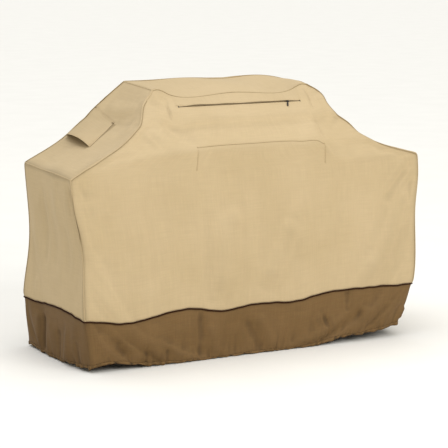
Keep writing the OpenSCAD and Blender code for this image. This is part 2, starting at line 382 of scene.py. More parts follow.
# the ridge top is filled between its four edges
def buildTop(edge):
    nf, ne = grid["front"], grid["end"]
    front = edge[:nf + 1]
    right = edge[nf:nf + ne + 1]
    rear = edge[nf + ne:2 * nf + ne + 1][::-1]
    left = np.concatenate([edge[2 * nf + ne:], edge[:1]])[::-1]
    u = np.linspace(0, 1, nf + 1)[None, :, None]
    v = np.linspace(0, 1, ne + 1)[:, None, None]
    corners = (front[0] * (1 - u) * (1 - v) + front[-1] * u * (1 - v) + rear[0] * (1 - u) * v
               + rear[-1] * u * v)
    patch = front[None] * (1 - v) + rear[None] * v + left[:, None] * (1 - u) + right[:, None] * u - corners
    patch[..., 2] += 0.010 * np.sin(math.pi * v[..., 0]) * np.sin(math.pi * u[..., 0]) ** 0.5
    return patch


topPatch = buildTop(loop[-1])

# one list of points and quads for the whole cloth, so that its normals run on over every seam
nf, ne = grid["front"], grid["end"]
loopIds = np.arange(nRows * nCols).reshape(nRows, nCols)
topIds = np.full((ne + 1, nf + 1), -1)
ring = loopIds[-1]
topIds[0, :] = ring[:nf + 1]
topIds[:, -1] = ring[nf:nf + ne + 1]
topIds[-1, :] = ring[nf + ne:2 * nf + ne + 1][::-1]
topIds[:, 0] = np.concatenate([ring[2 * nf + ne:], ring[:1]])[::-1]
inner = topIds < 0
topIds[inner] = nRows * nCols + np.arange(inner.sum())
points = np.concatenate([loop.reshape(-1, 3), topPatch[inner]])

nextCol = np.roll(loopIds, -1, axis=1)
quads = np.stack([loopIds[:-1], nextCol[:-1], nextCol[1:], loopIds[1:]], -1).reshape(-1, 4)
topQuads = np.stack([topIds[:-1, :-1], topIds[:-1, 1:], topIds[1:, 1:], topIds[1:, :-1]], -1).reshape(-1, 4)
allQuads = np.concatenate([quads, topQuads])


# each point's normal, from the quads round it
def normalsOf(p):
    a, b, c, d = (p[allQuads[:, i]] for i in range(4))
    n = np.cross(c - a, d - b)
    total = np.zeros_like(p)
    for i in range(4):
        np.add.at(total, allQuads[:, i], n)
    return unit(total)


edges = np.concatenate([allQuads[:, [0, 1]], allQuads[:, [1, 2]], allQuads[:, [2, 3]], allQuads[:, [3, 0]]])
neighbours = np.bincount(edges.ravel(), minlength=len(points))


# what the points joined to each point have on average
def aroundEach(values):
    total = np.zeros_like(values)
    for a, b in ((0, 1), (1, 0)):
        np.add.at(total, edges[:, a], values[edges[:, b]])
    return (total.T / neighbours).T


# draws every point towards its neighbours
def relax(p, times, hold):
    for _ in range(times):
        p = p + (aroundEach(p) - p) * hold[:, None]
    return p


heightOf = np.concatenate([np.repeat(rows, nCols), np.full(inner.sum(), size["ridgeZ"])])
colOf = np.concatenate([np.tile(np.arange(nCols), nRows), np.full(inner.sum(), -1)])
sideOf = np.where(colOf < 0, 4, np.digitize(colOf, [nf, nf + ne, 2 * nf + ne]))
hold = np.full(len(points), 0.5)
cornerCols = np.array([0, nf, nf + ne, 2 * nf + ne])
toCorner = np.abs((colOf[:, None] - cornerCols + nCols // 2) % nCols - nCols // 2).min(1)
hold[np.abs(heightOf - size["zipZ"]) < 0.012] *= 0.1
points = relax(points, 2, hold)
softSkirt = np.where(colOf >= 0, 0.5 * smooth((0.26 - heightOf) / 0.05) * smooth((14 - toCorner) / 8), 0)
foot = points[:nCols, 2].copy()
points = relax(points, 24, softSkirt)
points[:nCols, 2] = foot
print("cloth corners softened")

# folds

# a fold along a path of (place along the side, height), its width, how far it stands out, and its lean,
# which makes one flank steep
def crease(width, out, lean, *path):
    return dict(path=path, width=width, out=out, lean=lean)


folds = dict(front=[
    crease(.072, .017, .45, (-.12, .74), (-.15, .55), (-.21, .27)),
    crease(.066, .017, -.45, (.23, .64), (.14, .46), (.06, .30)),
    crease(.064, .025, .55, (.86, .80), (.74, .58), (.66, .42), (.53, .26)),
    crease(.030, -.006, .3, (.83, .84), (.76, .76), (.70, .66)),
    crease(.060, .009, 0, (-.80, .82), (-.82, .66), (-.80, .46)),
    crease(.090, -.006, .3, (-.50, .86), (-.47, .60), (-.52, .34)),
    crease(.070, .006, -.4, (.45, .86), (.47, .66), (.42, .45)),
    crease(.030, -.004, .4, (-.86, .94), (-.72, .93), (-.55, .94)),
    crease(.050, .009, .2, (.36, 1.00), (.52, .98), (.72, .94)),
    crease(.050, -.009, .7, (-.45, 1.24), (-.40, 1.13), (-.33, 1.05), (-.24, .99)),
    crease(.050, .010, 0, (-.42, 1.18), (-.43, 1.08), (-.50, 1.01)),
    crease(.034, -.003, .4, (-.26, 1.08), (-.12, 1.06), (.02, 1.03)),
    crease(.016, -.003, .2, (.35, 1.13), (.39, 1.05), (.40, .98)),
    crease(.040, .010, 0, (.44, 1.19), (.46, 1.12), (.50, 1.05)),
    # skirt, front: broad soft waves with a few sharper pleats between them
    crease(.050, .010, 0, (-.78, .22), (-.78, .00)),
    crease(.034, -.010, .5, (-.69, .17), (-.69, .00)),
    crease(.045, .010, -.3, (-.62, .24), (-.60, .00)),
    crease(.020, -.008, .3, (-.56, .13), (-.57, .00)),
    crease(.038, .009, 0, (-.51, .22), (-.51, .00)),
    crease(.020, -.008, .3, (-.46, .10), (-.46, -.02)),
    crease(.040, .008, 0, (-.40, .20), (-.40, .00)),
    crease(.026, -.016, .45, (-.29, .26), (-.28, .12), (-.29, -.02)),
    crease(.026, .008, -.4, (-.23, .18), (-.20, .00)),
    crease(.050, -.006, 0, (-.12, .22), (-.11, .00)),
    crease(.028, -.010, .5, (-.06, .19), (.04, -.01)),
    crease(.036, .010, .2, (.01, .20), (.10, .00)),
    crease(.055, .008, 0, (.23, .20), (.24, .00)),
    crease(.017, -.012, .5, (.35, .17), (.39, .10), (.39, .05), (.34, .00)),
    crease(.030, .010, 0, (.33, .18), (.35, .09), (.32, .00)),
    crease(.022, -.009, .3, (.49, .28), (.49, .15)),
    crease(.022, -.010, .5, (.58, .18), (.54, .10), (.49, .01)),
    crease(.030, .012, 0, (.62, .19), (.57, .09), (.55, .01)),
    crease(.024, -.010, .5, (.71, .22), (.67, .13), (.63, .03)),
    crease(.036, .010, 0, (.76, .22), (.73, .10), (.71, .03)),
    crease(.050, .010, 0, (.86, .16), (.86, .07)),
], left=[
    crease(.030, -.014, -.4, (-.25, .86), (-.28, .72), (-.32, .58)),
    crease(.045, .006, .3, (-.10, .84), (-.11, .60), (-.09, .36)),
    crease(.040, -.006, .3, (.08, .86), (.07, .60), (.10, .38)),
    crease(.045, .007, -.3, (.21, .66), (.20, .42), (.22, .24)),
    crease(.022, -.018, .4, (.12, .21), (.12, .10), (.12, .00)),
    crease(.034, .012, 0, (.17, .22), (.17, .00)),
    crease(.034, .010, 0, (.04, .20), (.05, .00)),
    crease(.030, -.010, .3, (-.05, .18), (-.06, .00)),
    crease(.034, .010, 0, (-.14, .20), (-.14, .00)),
    crease(.028, -.009, .3, (-.22, .16), (-.23, .00)),
    # the left shoulder's soft cross folds
    crease(.028, .006, .4, (-.13, 1.16), (.05, 1.13), (.20, 1.15)),
    crease(.022, -.004, .4, (-.15, 1.10), (-.05, 1.08), (.05, 1.09)),
    crease(.030, .005, .2, (-.26, .93), (-.05, .92), (.20, .94)),
], right=[
    crease(.035, -.010, .4, (-.22, .84), (-.24, .62), (-.27, .45)),
    crease(.050, .008, .3, (.02, .83), (.00, .55), (.03, .30)),
    crease(.036, -.008, .3, (.20, .84), (.21, .60), (.19, .45)),
    crease(.065, .013, 0, (-.28, .15), (-.28, .08)),
    crease(.028, -.013, .3, (-.12, .20), (-.13, .00)),
    crease(.034, .010, 0, (-.02, .20), (-.02, .00)),
    crease(.028, -.011, .3, (.08, .20), (.09, .00)),
    crease(.036, .011, .3, (.20, .20), (.19, .00)),
    crease(.030, .007, .4, (-.12, 1.14), (.05, 1.12), (.20, 1.14)),
], rear=[
    crease(.080, .011, .5, (-.70, .84), (-.62, .55), (-.64, .30)),
    crease(.085, -.010, .4, (-.25, .86), (-.20, .60), (-.24, .36)),
    crease(.080, .010, -.5, (.20, .82), (.26, .55), (.22, .28)),
    crease(.070, -.010, .5, (.66, .86), (.60, .62), (.64, .33)),
    crease(.060, .008, .3, (-.60, 1.07), (-.30, .93), (-.05, .90)),
    crease(.060, .008, .3, (.55, 1.06), (.30, .94), (.10, .91)),
    crease(.040, .011, 0, (-.72, .20), (-.71, .00)),
    crease(.030, -.013, .3, (-.55, .22), (-.54, .00)),
    crease(.045, .010, 0, (-.38, .20), (-.37, .00)),
    crease(.030, -.012, .3, (-.18, .23), (-.20, .00)),
    crease(.045, .010, 0, (-.02, .20), (-.03, .00)),
    crease(.028, -.013, .4, (.14, .21), (.12, .00)),
    crease(.045, .010, 0, (.30, .20), (.30, .00)),
    crease(.030, -.013, .3, (.48, .24), (.47, .00)),
    crease(.045, .011, 0, (.66, .20), (.67, .00)),
])


def alongOf(name, p):
    return p[:, 0] if name in ("front", "rear") else p[:, 1]


# how far one fold stands out at the places (a, z) of its side
def foldHeight(fold, a, z):
    pts = np.array(fold["path"])
    best = np.full(len(a), 1e9)
    across = np.zeros(len(a))
    share = np.zeros(len(a))
    done = lengthAlong(pts)
    done = done / done[-1]
    for i in range(len(pts) - 1):
        d = pts[i + 1] - pts[i]
        t = np.clip(((a - pts[i][0]) * d[0] + (z - pts[i][1]) * d[1]) / (d @ d), 0, 1)
        qa, qz = a - pts[i][0] - t * d[0], z - pts[i][1] - t * d[1]
        r = np.hypot(qa, qz)
        near = r < best
        best = np.where(near, r, best)
        across = np.where(near, qa / fold["width"], across)
        share = np.where(near, done[i] + t * (done[i + 1] - done[i]), share)
    fade = smooth(share / 0.25) * smooth((1 - share) / 0.25) * 0.85 + 0.15
    shapeAcross = np.exp(-(best / fold["width"]) ** 2)
    return fold["out"] * fade * shapeAcross * (1 + fold["lean"] * np.clip(across, -2, 2))


# the four sides in the order of the columns
names = ["front", "right", "rear", "left"]
offset = np.zeros(len(points))
for i, name in enumerate(names):
    pick = sideOf == i
    a, z = alongOf(name, points[pick]), points[pick][:, 2]
    for fold in folds[name]:
        offset[pick] += foldHeight(fold, a, z)

# soft unevenness everywhere, upright streaks on the walls, gathers that grow towards the elastic
uneven = waves(3, .42, .55)
streak = waves(5, .11, .9)
gatherWide = waves(7, .085, .60)
gatherFine = waves(11, .034, .40)
around = np.zeros(len(points))
lengths = np.linalg.norm(np.diff(loop[0], axis=0, append=loop[0][:1]), axis=1)
distance = np.concatenate([[0], np.cumsum(lengths)[:-1]])
around[:nRows * nCols] = np.tile(distance, nRows)
wall = colOf >= 0
h = heightOf
offset += 0.0028 * uneven(points[:, 0] + points[:, 1], h)
offset += np.where(wall, 0.0011 * streak(around, h) * smooth((size["shelfZ"] - h) / .2), 0)
skirt = np.clip((size["bandZ"] - h) / size["bandZ"], 0, 1)
offset += np.where(wall, 0.0046 * skirt ** 1.2 * gatherWide(around, h), 0)
offset += np.where(wall, 0.0030 * skirt ** 4 * gatherFine(around, h), 0)
nearZip = (sideOf == 0) & (points[:, 0] > size["zipLeft"] - .05) & (points[:, 0] < size["zipRight"] + .05)
offset *= np.where(nearZip, smooth((abs(h - size["zipZ"]) - 0.010) / 0.05), 1.0)

normals = normalsOf(points)
points = points + normals * offset[:, None]
points[:nCols, 2] = np.maximum(points[:nCols, 2], 0.0006)
print("folds laid in:", sum(map(len, folds.values())))

# the cloth settles

settle = dict(step=3, frames=20, cap=0.012, tension=12.0, bending=0.8, elastic=0.07)


# a coarse copy of the walls hangs from its pinned edges, its hem drawn in; only its movement is kept
def settleWalls(p):
    cols = np.arange(0, nCols, settle["step"])
    fixed = [0, hemRow, bandRow, shelfRow, kneeRow, zipRow, nRows - 1]
    rowIds = np.array(sorted(set(range(0, nRows, settle["step"])) | set(fixed)))
    start = p[:nRows * nCols].reshape(nRows, nCols, 3)[np.ix_(rowIds, cols)]
    n, m = start.shape[:2]
    ids = np.arange(n * m).reshape(n, m)
    after = np.roll(ids, -1, 1)
    faces = np.stack([ids[:-1], after[:-1], after[1:], ids[1:]], -1).reshape(-1, 4)
    flat = start.reshape(-1, 3)
    mesh = bpy.data.meshes.new("settling")
    mesh.from_pydata(flat.tolist(), [], faces.tolist())
    obj = newObject("settling", mesh)
    w = np.repeat(rows[rowIds], m)
    fromCorner = np.tile(toCorner[cols], n)
    sides = np.tile(np.digitize(cols, [nf, nf + ne, 2 * nf + ne]), n)
    pins = [
        (0.8, (fromCorner <= 3) & (w >= size["bandZ"])),
        (0.3, fromCorner <= 3),
        (0.9, (abs(w - size["shelfZ"]) < 0.02) & (sides > 0)),
        (0.35, (abs(w - size["kneeZ"]) < 0.02) & (sides == 0)),
        (1.0, w > size["ridgeZ"] - 0.02),
        (1.0, (w > size["zipZ"] - 0.05) & (sides == 0)),
    ]
    pin = np.max([np.full(n * m, 0.02)] + [strength * where for strength, where in pins], axis=0)
    held = obj.vertex_groups.new(name="held")
    drawn = obj.vertex_groups.new(name="drawn")
    for i in range(n * m):
        held.add([i], float(pin[i]), "REPLACE")
        drawn.add([i], float(np.clip(1 - w[i] / 0.06, 0, 1)), "REPLACE")
    cloth = obj.modifiers.new("cloth", "CLOTH")
    chosen = dict(quality=5, mass=0.25, tension_stiffness=settle["tension"],
                  compression_stiffness=settle["tension"], shear_stiffness=4.0,
                  bending_stiffness=settle["bending"], vertex_group_mass="held", pin_stiffness=1.0,
                  vertex_group_shrink="drawn", shrink_min=0.0, shrink_max=settle["elastic"])
    for key, value in chosen.items():
        setattr(cloth.settings, key, value)
    cloth.point_cache.frame_start = 1
    cloth.point_cache.frame_end = settle["frames"]
    scene = bpy.context.scene
    for f in range(1, settle["frames"] + 1):
        scene.frame_set(f)
    shown = obj.evaluated_get(bpy.context.evaluated_depsgraph_get())
    moved = np.zeros(n * m * 3)
    shown.data.vertices.foreach_get("co", moved)
    moved = moved.reshape(-1, 3) - flat
    obj.modifiers.clear()
    bpy.data.objects.remove(obj)
    scene.frame_set(1)
    length = np.linalg.norm(moved, axis=1, keepdims=True)
    moved = moved * np.minimum(1, settle["cap"] / np.maximum(length, 1e-9))
    print("cloth moved, mm: mean %.1f, most %.1f" % (length.mean() * 1000, length.max() * 1000))
    moved = moved.reshape(n, m, 3)
    fine = np.zeros((nRows, nCols, 3))
    allCols = np.arange(nCols)
    for k in range(3):
        closedCols = np.append(cols, nCols)
        rowsDone = np.array([np.interp(allCols, closedCols, np.append(moved[i, :, k], moved[i, 0, k]))
                             for i in range(n)])
        for c in range(nCols):
            fine[:, c, k] = np.interp(np.arange(nRows), rowIds, rowsDone[:, c])
    return fine


slack = settleWalls(points)
for _ in range(2):
    slack[1:-1] = 0.5 * slack[1:-1] + 0.25 * (slack[:-2] + slack[2:])
    slack = 0.5 * slack + 0.25 * (np.roll(slack, 1, 1) + np.roll(slack, -1, 1))
slack[-1] = 0
belowZip = smooth((size["zipZ"] - 0.045 - rows) / 0.05)[:, None]
inFront = (np.arange(nCols) < nf)[None]
slack *= np.where(inFront, belowZip, 1.0)[..., None]
points[:nRows * nCols] += slack.reshape(-1, 3)
points[:nCols, 2] = np.maximum(points[:nCols, 2], 0.0006)
normals = normalsOf(points)
print("cloth settled")

surface = BVHTree.FromPolygons([tuple(p) for p in points], [tuple(int(i) for i in q) for q in allQuads])

# materials


def newMaterial(name, colour, roughness, coat=0.0, sheen=0.0, metallic=0.0, specular=0.5):
    material = bpy.data.materials.new(name)
    material.use_nodes = True
    shader = material.node_tree.nodes["Principled BSDF"]
    shader.inputs["Base Color"].default_value = linear(colour)
    shader.inputs["Roughness"].default_value = roughness
    shader.inputs["Metallic"].default_value = metallic
    shader.inputs["Coat Weight"].default_value = coat
    shader.inputs["Sheen Weight"].default_value = sheen
    shader.inputs["Specular IOR Level"].default_value = specular
    return material, material.node_tree, shader


# a colour that runs from low to high as the source does
def ramp(tree, source, low, high, start=0.0, stop=1.0):
    node = add(tree, "ShaderNodeValToRGB", links=dict(Fac=source))
    for element, at, colour in zip(node.color_ramp.elements, (start, stop), (low, high)):
        element.position = at
        element.color = linear(colour)
    return node


def noise(tree, place, scale, detail, roughness=0.5, distortion=0.0):
    return add(tree, "ShaderNodeTexNoise",
               inputs=dict(Scale=scale, Detail=detail, Roughness=roughness, Distortion=distortion),
               links=dict(Vector=place.outputs["Object"]))


def bands(tree, place, way, scale, distortion, source):
    return add(tree, "ShaderNodeTexWave", dict(wave_type="BANDS", bands_direction=way),
               dict(Scale=scale, Distortion=distortion, Detail=1.0), dict(Vector=place.outputs[source]))


# a bump from a height, on top of another if there is one
def bumped(tree, height, strength, distance, under=None):
    links = dict(Height=height)
    if under:
        links["Normal"] = under.outputs["Normal"]
    return add(tree, "ShaderNodeBump", inputs=dict(Strength=strength, Distance=distance), links=links)


# coated polyester, plain woven: a flat, dry cloth whose colour drifts softly, with painted shade in its
# hollows and a painted highlight on its folded edges, and a faint thread grid
def coatedPolyester(name, colours, roughness, mottle):
    material, tree, shader = newMaterial(name, colours["base"], roughness, specular=0.3)
    place = add(tree, "ShaderNodeTexCoord")
    # 0.6 mm threads, drawn 2.4 mm apart so that they show
    thread = 2 * math.pi / 0.0024 / 20
    warp, weft = (bands(tree, place, way, thread, 0.4, "UV") for way in ("X", "Y"))
    weave = add(tree, "ShaderNodeMath", dict(operation="MULTIPLY"),
                links={0: warp.outputs["Fac"], 1: weft.outputs["Fac"]})
    cloud = noise(tree, place, mottle["cloud"], 3.0, 0.55)
    speck = noise(tree, place, mottle["speck"], 2.0, 0.6)
    tint = ramp(tree, cloud.outputs["Fac"], colours["low"], colours["high"], 0.32, 0.70)
    dust = add(tree, "ShaderNodeMix", dict(data_type="RGBA", blend_type="SOFT_LIGHT"), {0: mottle["dust"]},
               {6: tint.outputs["Color"], 7: speck.outputs["Color"]})
    slubs = []                                               # thick and thin stretches of thread, both ways
    for seed, scale in ((1, (190, 9, 1)), (2, (9, 190, 1))):
        run = add(tree, "ShaderNodeMapping", inputs=dict(Scale=scale),
                  links=dict(Vector=place.outputs["UV"]))
        slubs.append(add(tree, "ShaderNodeTexNoise", dict(noise_dimensions="4D"),
                         dict(Scale=1.0, Detail=2.0, W=seed), dict(Vector=run.outputs[0])))
    slub = add(tree, "ShaderNodeMath", dict(operation="MULTIPLY"),
               links={0: slubs[0].outputs["Fac"], 1: slubs[1].outputs["Fac"]})
    heather = add(tree, "ShaderNodeMapRange", inputs={1: 0.10, 2: 0.42, 3: 0.36, 4: 0.64},
                  links={0: slub.outputs[0]})
    spun = add(tree, "ShaderNodeMix", dict(data_type="RGBA", blend_type="OVERLAY"), {0: mottle["slub"]},
               {6: dust.outputs[2], 7: heather.outputs[0]})
    # painted shade in the hollows and painted highlight on the folded edges, read from the surface's bend
    relief = add(tree, "ShaderNodeAttribute", dict(attribute_name="relief"))
    foldShading = ramp(tree, relief.outputs["Fac"], colours["hollow"], colours["edge"])
    middle = foldShading.color_ramp.elements.new(0.5)
    middle.color = (0.5, 0.5, 0.5, 1.0)
    shade = add(tree, "ShaderNodeMix", dict(data_type="RGBA", blend_type="OVERLAY"), {0: 0.7},
                {6: spun.outputs[2], 7: foldShading.outputs["Color"]})
    # painted shade: an attribute mixes a dark colour into the seam grooves, the cloth under the vent flaps
    # and the end skirts
    paintedShade = add(tree, "ShaderNodeAttribute", dict(attribute_name="paintedShade"))
    withPaintedShade = add(tree, "ShaderNodeMix", dict(data_type="RGBA"), {7: linear(colours["paintedShade"])},
                {0: paintedShade.outputs["Fac"], 6: shade.outputs[2]})
    tree.links.new(withPaintedShade.outputs[2], shader.inputs["Base Color"])
    ripple = noise(tree, place, 26.0, 4.0, 0.55, 0.5)
    first = bumped(tree, weave.outputs[0], 0.10, 0.0008)
    second = bumped(tree, ripple.outputs["Fac"], mottle["ripple"], 0.004, first)
    tree.links.new(second.outputs["Normal"], shader.inputs["Normal"])
    return material


# woven tape, cord or thread: fine diagonal ribs that take turns in a low and a high colour
def ribbedTape(name, low, high, roughness, rib, sheen, specular=0.3):
    material, tree, shader = newMaterial(name, high, roughness, sheen=sheen, specular=specular)
    place = add(tree, "ShaderNodeTexCoord")
    ribs = bands(tree, place, "DIAGONAL", 2 * math.pi / rib / 20, 0.6, "Object")
    colour = ramp(tree, ribs.outputs["Fac"], low, high)
    tree.links.new(colour.outputs["Color"], shader.inputs["Base Color"])
    relief = bumped(tree, ribs.outputs["Fac"], 0.4, 0.0006)
    tree.links.new(relief.outputs["Normal"], shader.inputs["Normal"])
    return material


# moulded or enamelled small parts: an even dark skin with a fine grain that breaks up the gloss
def fineGrain(name, low, high, roughness, grain, depth, metallic=0.0, coat=0.0):
    material, tree, shader = newMaterial(name, high, roughness, metallic=metallic, coat=coat)
    place = add(tree, "ShaderNodeTexCoord")
    speck = noise(tree, place, 1 / grain, 3.0)
    colour = ramp(tree, speck.outputs["Fac"], low, high, 0.35, 0.70)
    tree.links.new(colour.outputs["Color"], shader.inputs["Base Color"])
    dull = add(tree, "ShaderNodeMapRange", inputs={3: roughness - 0.06, 4: roughness + 0.10},
               links={0: speck.outputs["Fac"]})
    tree.links.new(dull.outputs[0], shader.inputs["Roughness"])
    relief = bumped(tree, speck.outputs["Fac"], depth, 0.0003)
    tree.links.new(relief.outputs["Normal"], shader.inputs["Normal"])
    return material


# per cloth: hollow and edge are the painted shade and painted highlight laid over the folds, and the last
# colour is the painted shade's colour
tanCloth = dict(base="#BCA67F", low="#B5A07B", high="#BBA682", hollow="#747474", edge="#909090",
                paintedShade="#7A6644")
brownCloth = dict(base="#6F542F", low="#6B512D", high="#725733", hollow="#5E5E5E", edge="#949494",
                  paintedShade="#2E1B0C")
liningCloth = dict(base="#3B3833", low="#35322D", high="#433F39", hollow="#6E6E6E", edge="#909090",
                   paintedShade="#1C1A18")
mat = dict(
    # dry, matt cloths whose thread grid and slubs break up the colour
    tan=coatedPolyester("woven_polyester_pebble_tan", tanCloth, 0.78,
                        dict(cloud=3.0, speck=240.0, dust=.08, slub=.16, ripple=.10)),
    brown=coatedPolyester("woven_polyester_bark_brown", brownCloth, 0.74,
                          dict(cloud=6.0, speck=240.0, dust=.12, slub=.35, ripple=.14)),
    lining=coatedPolyester("calendered_lining_taffeta_grey", liningCloth, 0.7,
                           dict(cloud=9.0, speck=240.0, dust=.1, slub=.3, ripple=.1)),
    # ribbed round: a fine diagonal light and dark
    piping=ribbedTape("corded_bias_tape_dark_brown", "#1E0D04", "#381C0A", 0.85, 0.0035, 0.0, 0.12),
    tape=ribbedTape("woven_zip_tape_brown", "#7A6140", "#917650", 0.8, 0.0022, 0.0),
    elastic=ribbedTape("braided_elastic_black", "#121110", "#2A2826", 0.8, 0.0028, 0.0),
    thread=ribbedTape("spun_polyester_thread_tan", "#A58E63", "#C9B48B", 0.8, 0.0016, 0.0),
    darkThread=ribbedTape("spun_polyester_thread_brown", "#3E2A18", "#5E452C", 0.8, 0.0016, 0.0),
    net=ribbedTape("knitted_polyester_net_dark", "#2A251B", "#473F30", 0.85, 0.0016, 0.0),
    # small smooth parts: a soft nylon gleam, a glossier enamel and a dull rubber
    coil=fineGrain("moulded_nylon_coil_brown", "#64492C", "#7D5F3C", 0.42, 0.004, 0.2),
    zinc=fineGrain("enamelled_die_cast_zinc", "#1A130D", "#2B2017", 0.34, 0.003, 0.15, metallic=0.35,
                   coat=0.3),
    rubber=fineGrain("moulded_rubber_black", "#100C09", "#1D1713", 0.62, 0.002, 0.3),
)
print("materials ready:", len(mat))

# floor

floorMat, floorTree, floorShader = newMaterial("matt_painted_floor", "#E0DED9", 0.9, specular=0.1)
floorPlace = add(floorTree, "ShaderNodeTexCoord")
floorGrain = noise(floorTree, floorPlace, 3.0, 2.0)
floorTone = ramp(floorTree, floorGrain.outputs["Fac"], "#E1DFD9", "#E7E5DF")
floorTree.links.new(floorTone.outputs["Color"], floorShader.inputs["Base Color"])
floor = makeMesh("floor", [(-40, -40, 0), (40, -40, 0), (40, 40, 0), (-40, 40, 0)], [(0, 1, 2, 3)], floorMat)

# cloth panels

flow = np.zeros((len(points), 2))                            # cloth lengths for the weave: round, and up
flow[:nRows * nCols, 0] = around[:nRows * nCols]
flow[:nRows * nCols, 1] = heightOf[:nRows * nCols]
flow[nRows * nCols:] = points[nRows * nCols:, :2]


# 0 in a hollow, 1 on an edge that stands out, by how the surface bends within a hand's width; the cloth is
# painted darker (painted shade) in the hollows and paler (painted highlight) on the edges from it
def reliefOf(p, n):
    bend = ((p - aroundEach(p)) * n).sum(-1)
    for _ in range(3):
        bend = 0.4 * bend + 0.6 * aroundEach(bend)
    return np.clip(0.5 + bend * np.where(heightOf < size["bandZ"], 560, 420), 0.15, 0.85)


relief = reliefOf(points, normals)


# a sheet with its second face and its rim
def thicken(corners, nrm, faces, thick):
    n = len(corners)
    directed = np.concatenate([faces[:, [i, (i + 1) % faces.shape[1]]] for i in range(faces.shape[1])])
    key = np.sort(directed, 1)
    found, first, count = np.unique(key[:, 0] * n + key[:, 1], return_index=True, return_counts=True)
    rim = directed[first[count == 1]]
    rimFaces = np.stack([rim[:, 1], rim[:, 0], rim[:, 0] + n, rim[:, 1] + n], -1)
    allFaces = np.concatenate([faces, faces[:, ::-1] + n, rimFaces])
    return np.concatenate([corners, corners - nrm * thick]), np.concatenate([nrm, -nrm]), allFaces


# painted shade: the ends' skirts are painted a little darker than the front's
endShade = 0.14


# painted shade on the cloth under a vent flap
def shadeUnderFlap(p):
    share = np.zeros(len(p))
    for name in ("left_vent_flap", "right_vent_flap"):
        a, b = (np.array(v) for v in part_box(name))
        inside = np.minimum(p - a, b - p)[:, :2].min(1)
        share = np.maximum(share, smooth((inside + 0.004) / 0.012))
    return share


# one panel from a choice of the surface's quads
def panel(name, chosen, paint, flat, held, area=None):
    used, back = np.unique(allQuads[chosen], return_inverse=True)
    # painted shade under the vent flaps on the shoulder panels, and on the end skirts
    if "shoulder" in name:
        panelShade = 0.6 * shadeUnderFlap(points[used])
    else:
        panelShade = np.full(len(used), endShade * (name in ("left_skirt", "right_skirt")))
    corners, nrm, faces = thicken(points[used], normals[used], back.reshape(-1, 4), size["cloth"])
    obj = makeMesh(name + "_cloth", corners, faces, mat[paint], np.tile(flow[used], (2, 1)), nrm,
                   dict(relief=np.tile(relief[used], 2), paintedShade=np.tile(panelShade, 2)))
    place(obj, "cover", "body_cloth" if paint == "tan" else "skirt_cloth", name)


quadRow = np.concatenate([np.repeat(np.arange(nRows - 1), nCols), np.full(len(topQuads), -1)])
quadSide = np.concatenate([np.tile(np.digitize(np.arange(nCols), [nf, nf + ne, 2 * nf + ne]), nRows - 1),
                           np.full(len(topQuads), 4)])
centre = points[allQuads].mean(1)
earRow = int(np.argmin(abs(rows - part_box("left_ear_panel")[0][2])))
inSlot = ((quadRow == zipRow - 1) | (quadRow == zipRow)) & (quadSide == 0)
openSlot = inSlot & (centre[:, 0] > size["zipLeft"]) & (centre[:, 0] < size["zipRight"])
nets = [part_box(n) for n in ("left_vent_mesh", "right_vent_mesh")]
inHole = np.zeros(len(centre), bool)
for lowCorner, highCorner in nets:
    mid = (np.array(lowCorner) + np.array(highCorner)) / 2
    half = (np.array(highCorner) - np.array(lowCorner)) / 2 - 0.007
    inHole |= (abs(centre[:, :2] - mid[:2]) < half[:2]).all(1) & (quadSide != 4) & (quadRow >= shelfRow)


# the quads of one side between two rows, less the zip slot and the vent holes
def part(sideIndex, low, high):
    return (quadSide == sideIndex) & (quadRow >= low) & (quadRow < high) & ~openSlot & ~inHole


last = nRows - 1
# name, quads, cloth, flat size, how it is held, and its area where it is no rectangle
panels = [
    ("front_panel", part(0, bandRow, kneeRow), "tan", (1.78, .73), "hung", 1.26),
    ("rear_panel", part(2, bandRow, shelfRow), "tan", (1.78, .637), "hung"),
    ("left_side_panel", part(3, bandRow, shelfRow), "tan", (.62, .637), "hung"),
    ("right_side_panel", part(1, bandRow, shelfRow), "tan", (.62, .637), "hung"),
    ("left_shoulder_panel", part(3, shelfRow, earRow), "tan", (.61, .41), "draped", .21),
    ("right_shoulder_panel", part(1, shelfRow, earRow), "tan", (.61, .41), "draped", .21),
    ("left_ear_panel", part(3, earRow, last), "tan", (.47, .20), "draped", .075),
    ("right_ear_panel", part(1, earRow, last), "tan", (.47, .20), "draped", .075),
    ("hood_front_panel", part(0, kneeRow, zipRow - 1) | (inSlot & ~openSlot), "tan", (1.30, .27), "draped",
     .29),
    ("zip_header_panel", part(0, zipRow + 1, last), "tan", (.95, .10), "draped", .086),
    ("top_panel", quadSide == 4, "tan", (.86, .30), "draped", .24),
    ("hood_rear_panel", part(2, shelfRow, last), "tan", (1.78, .37), "draped", .47),
    ("front_skirt", part(0, hemRow, bandRow), "brown", (1.78, .213), "gathered"),
    ("rear_skirt", part(2, hemRow, bandRow), "brown", (1.78, .213), "gathered"),
    ("left_skirt", part(3, hemRow, bandRow), "brown", (.63, .213), "gathered"),
    ("right_skirt", part(1, hemRow, bandRow), "brown", (.63, .213), "gathered"),
]
for entry in panels:
    panel(*entry)
print("panels cut:", len(panels))
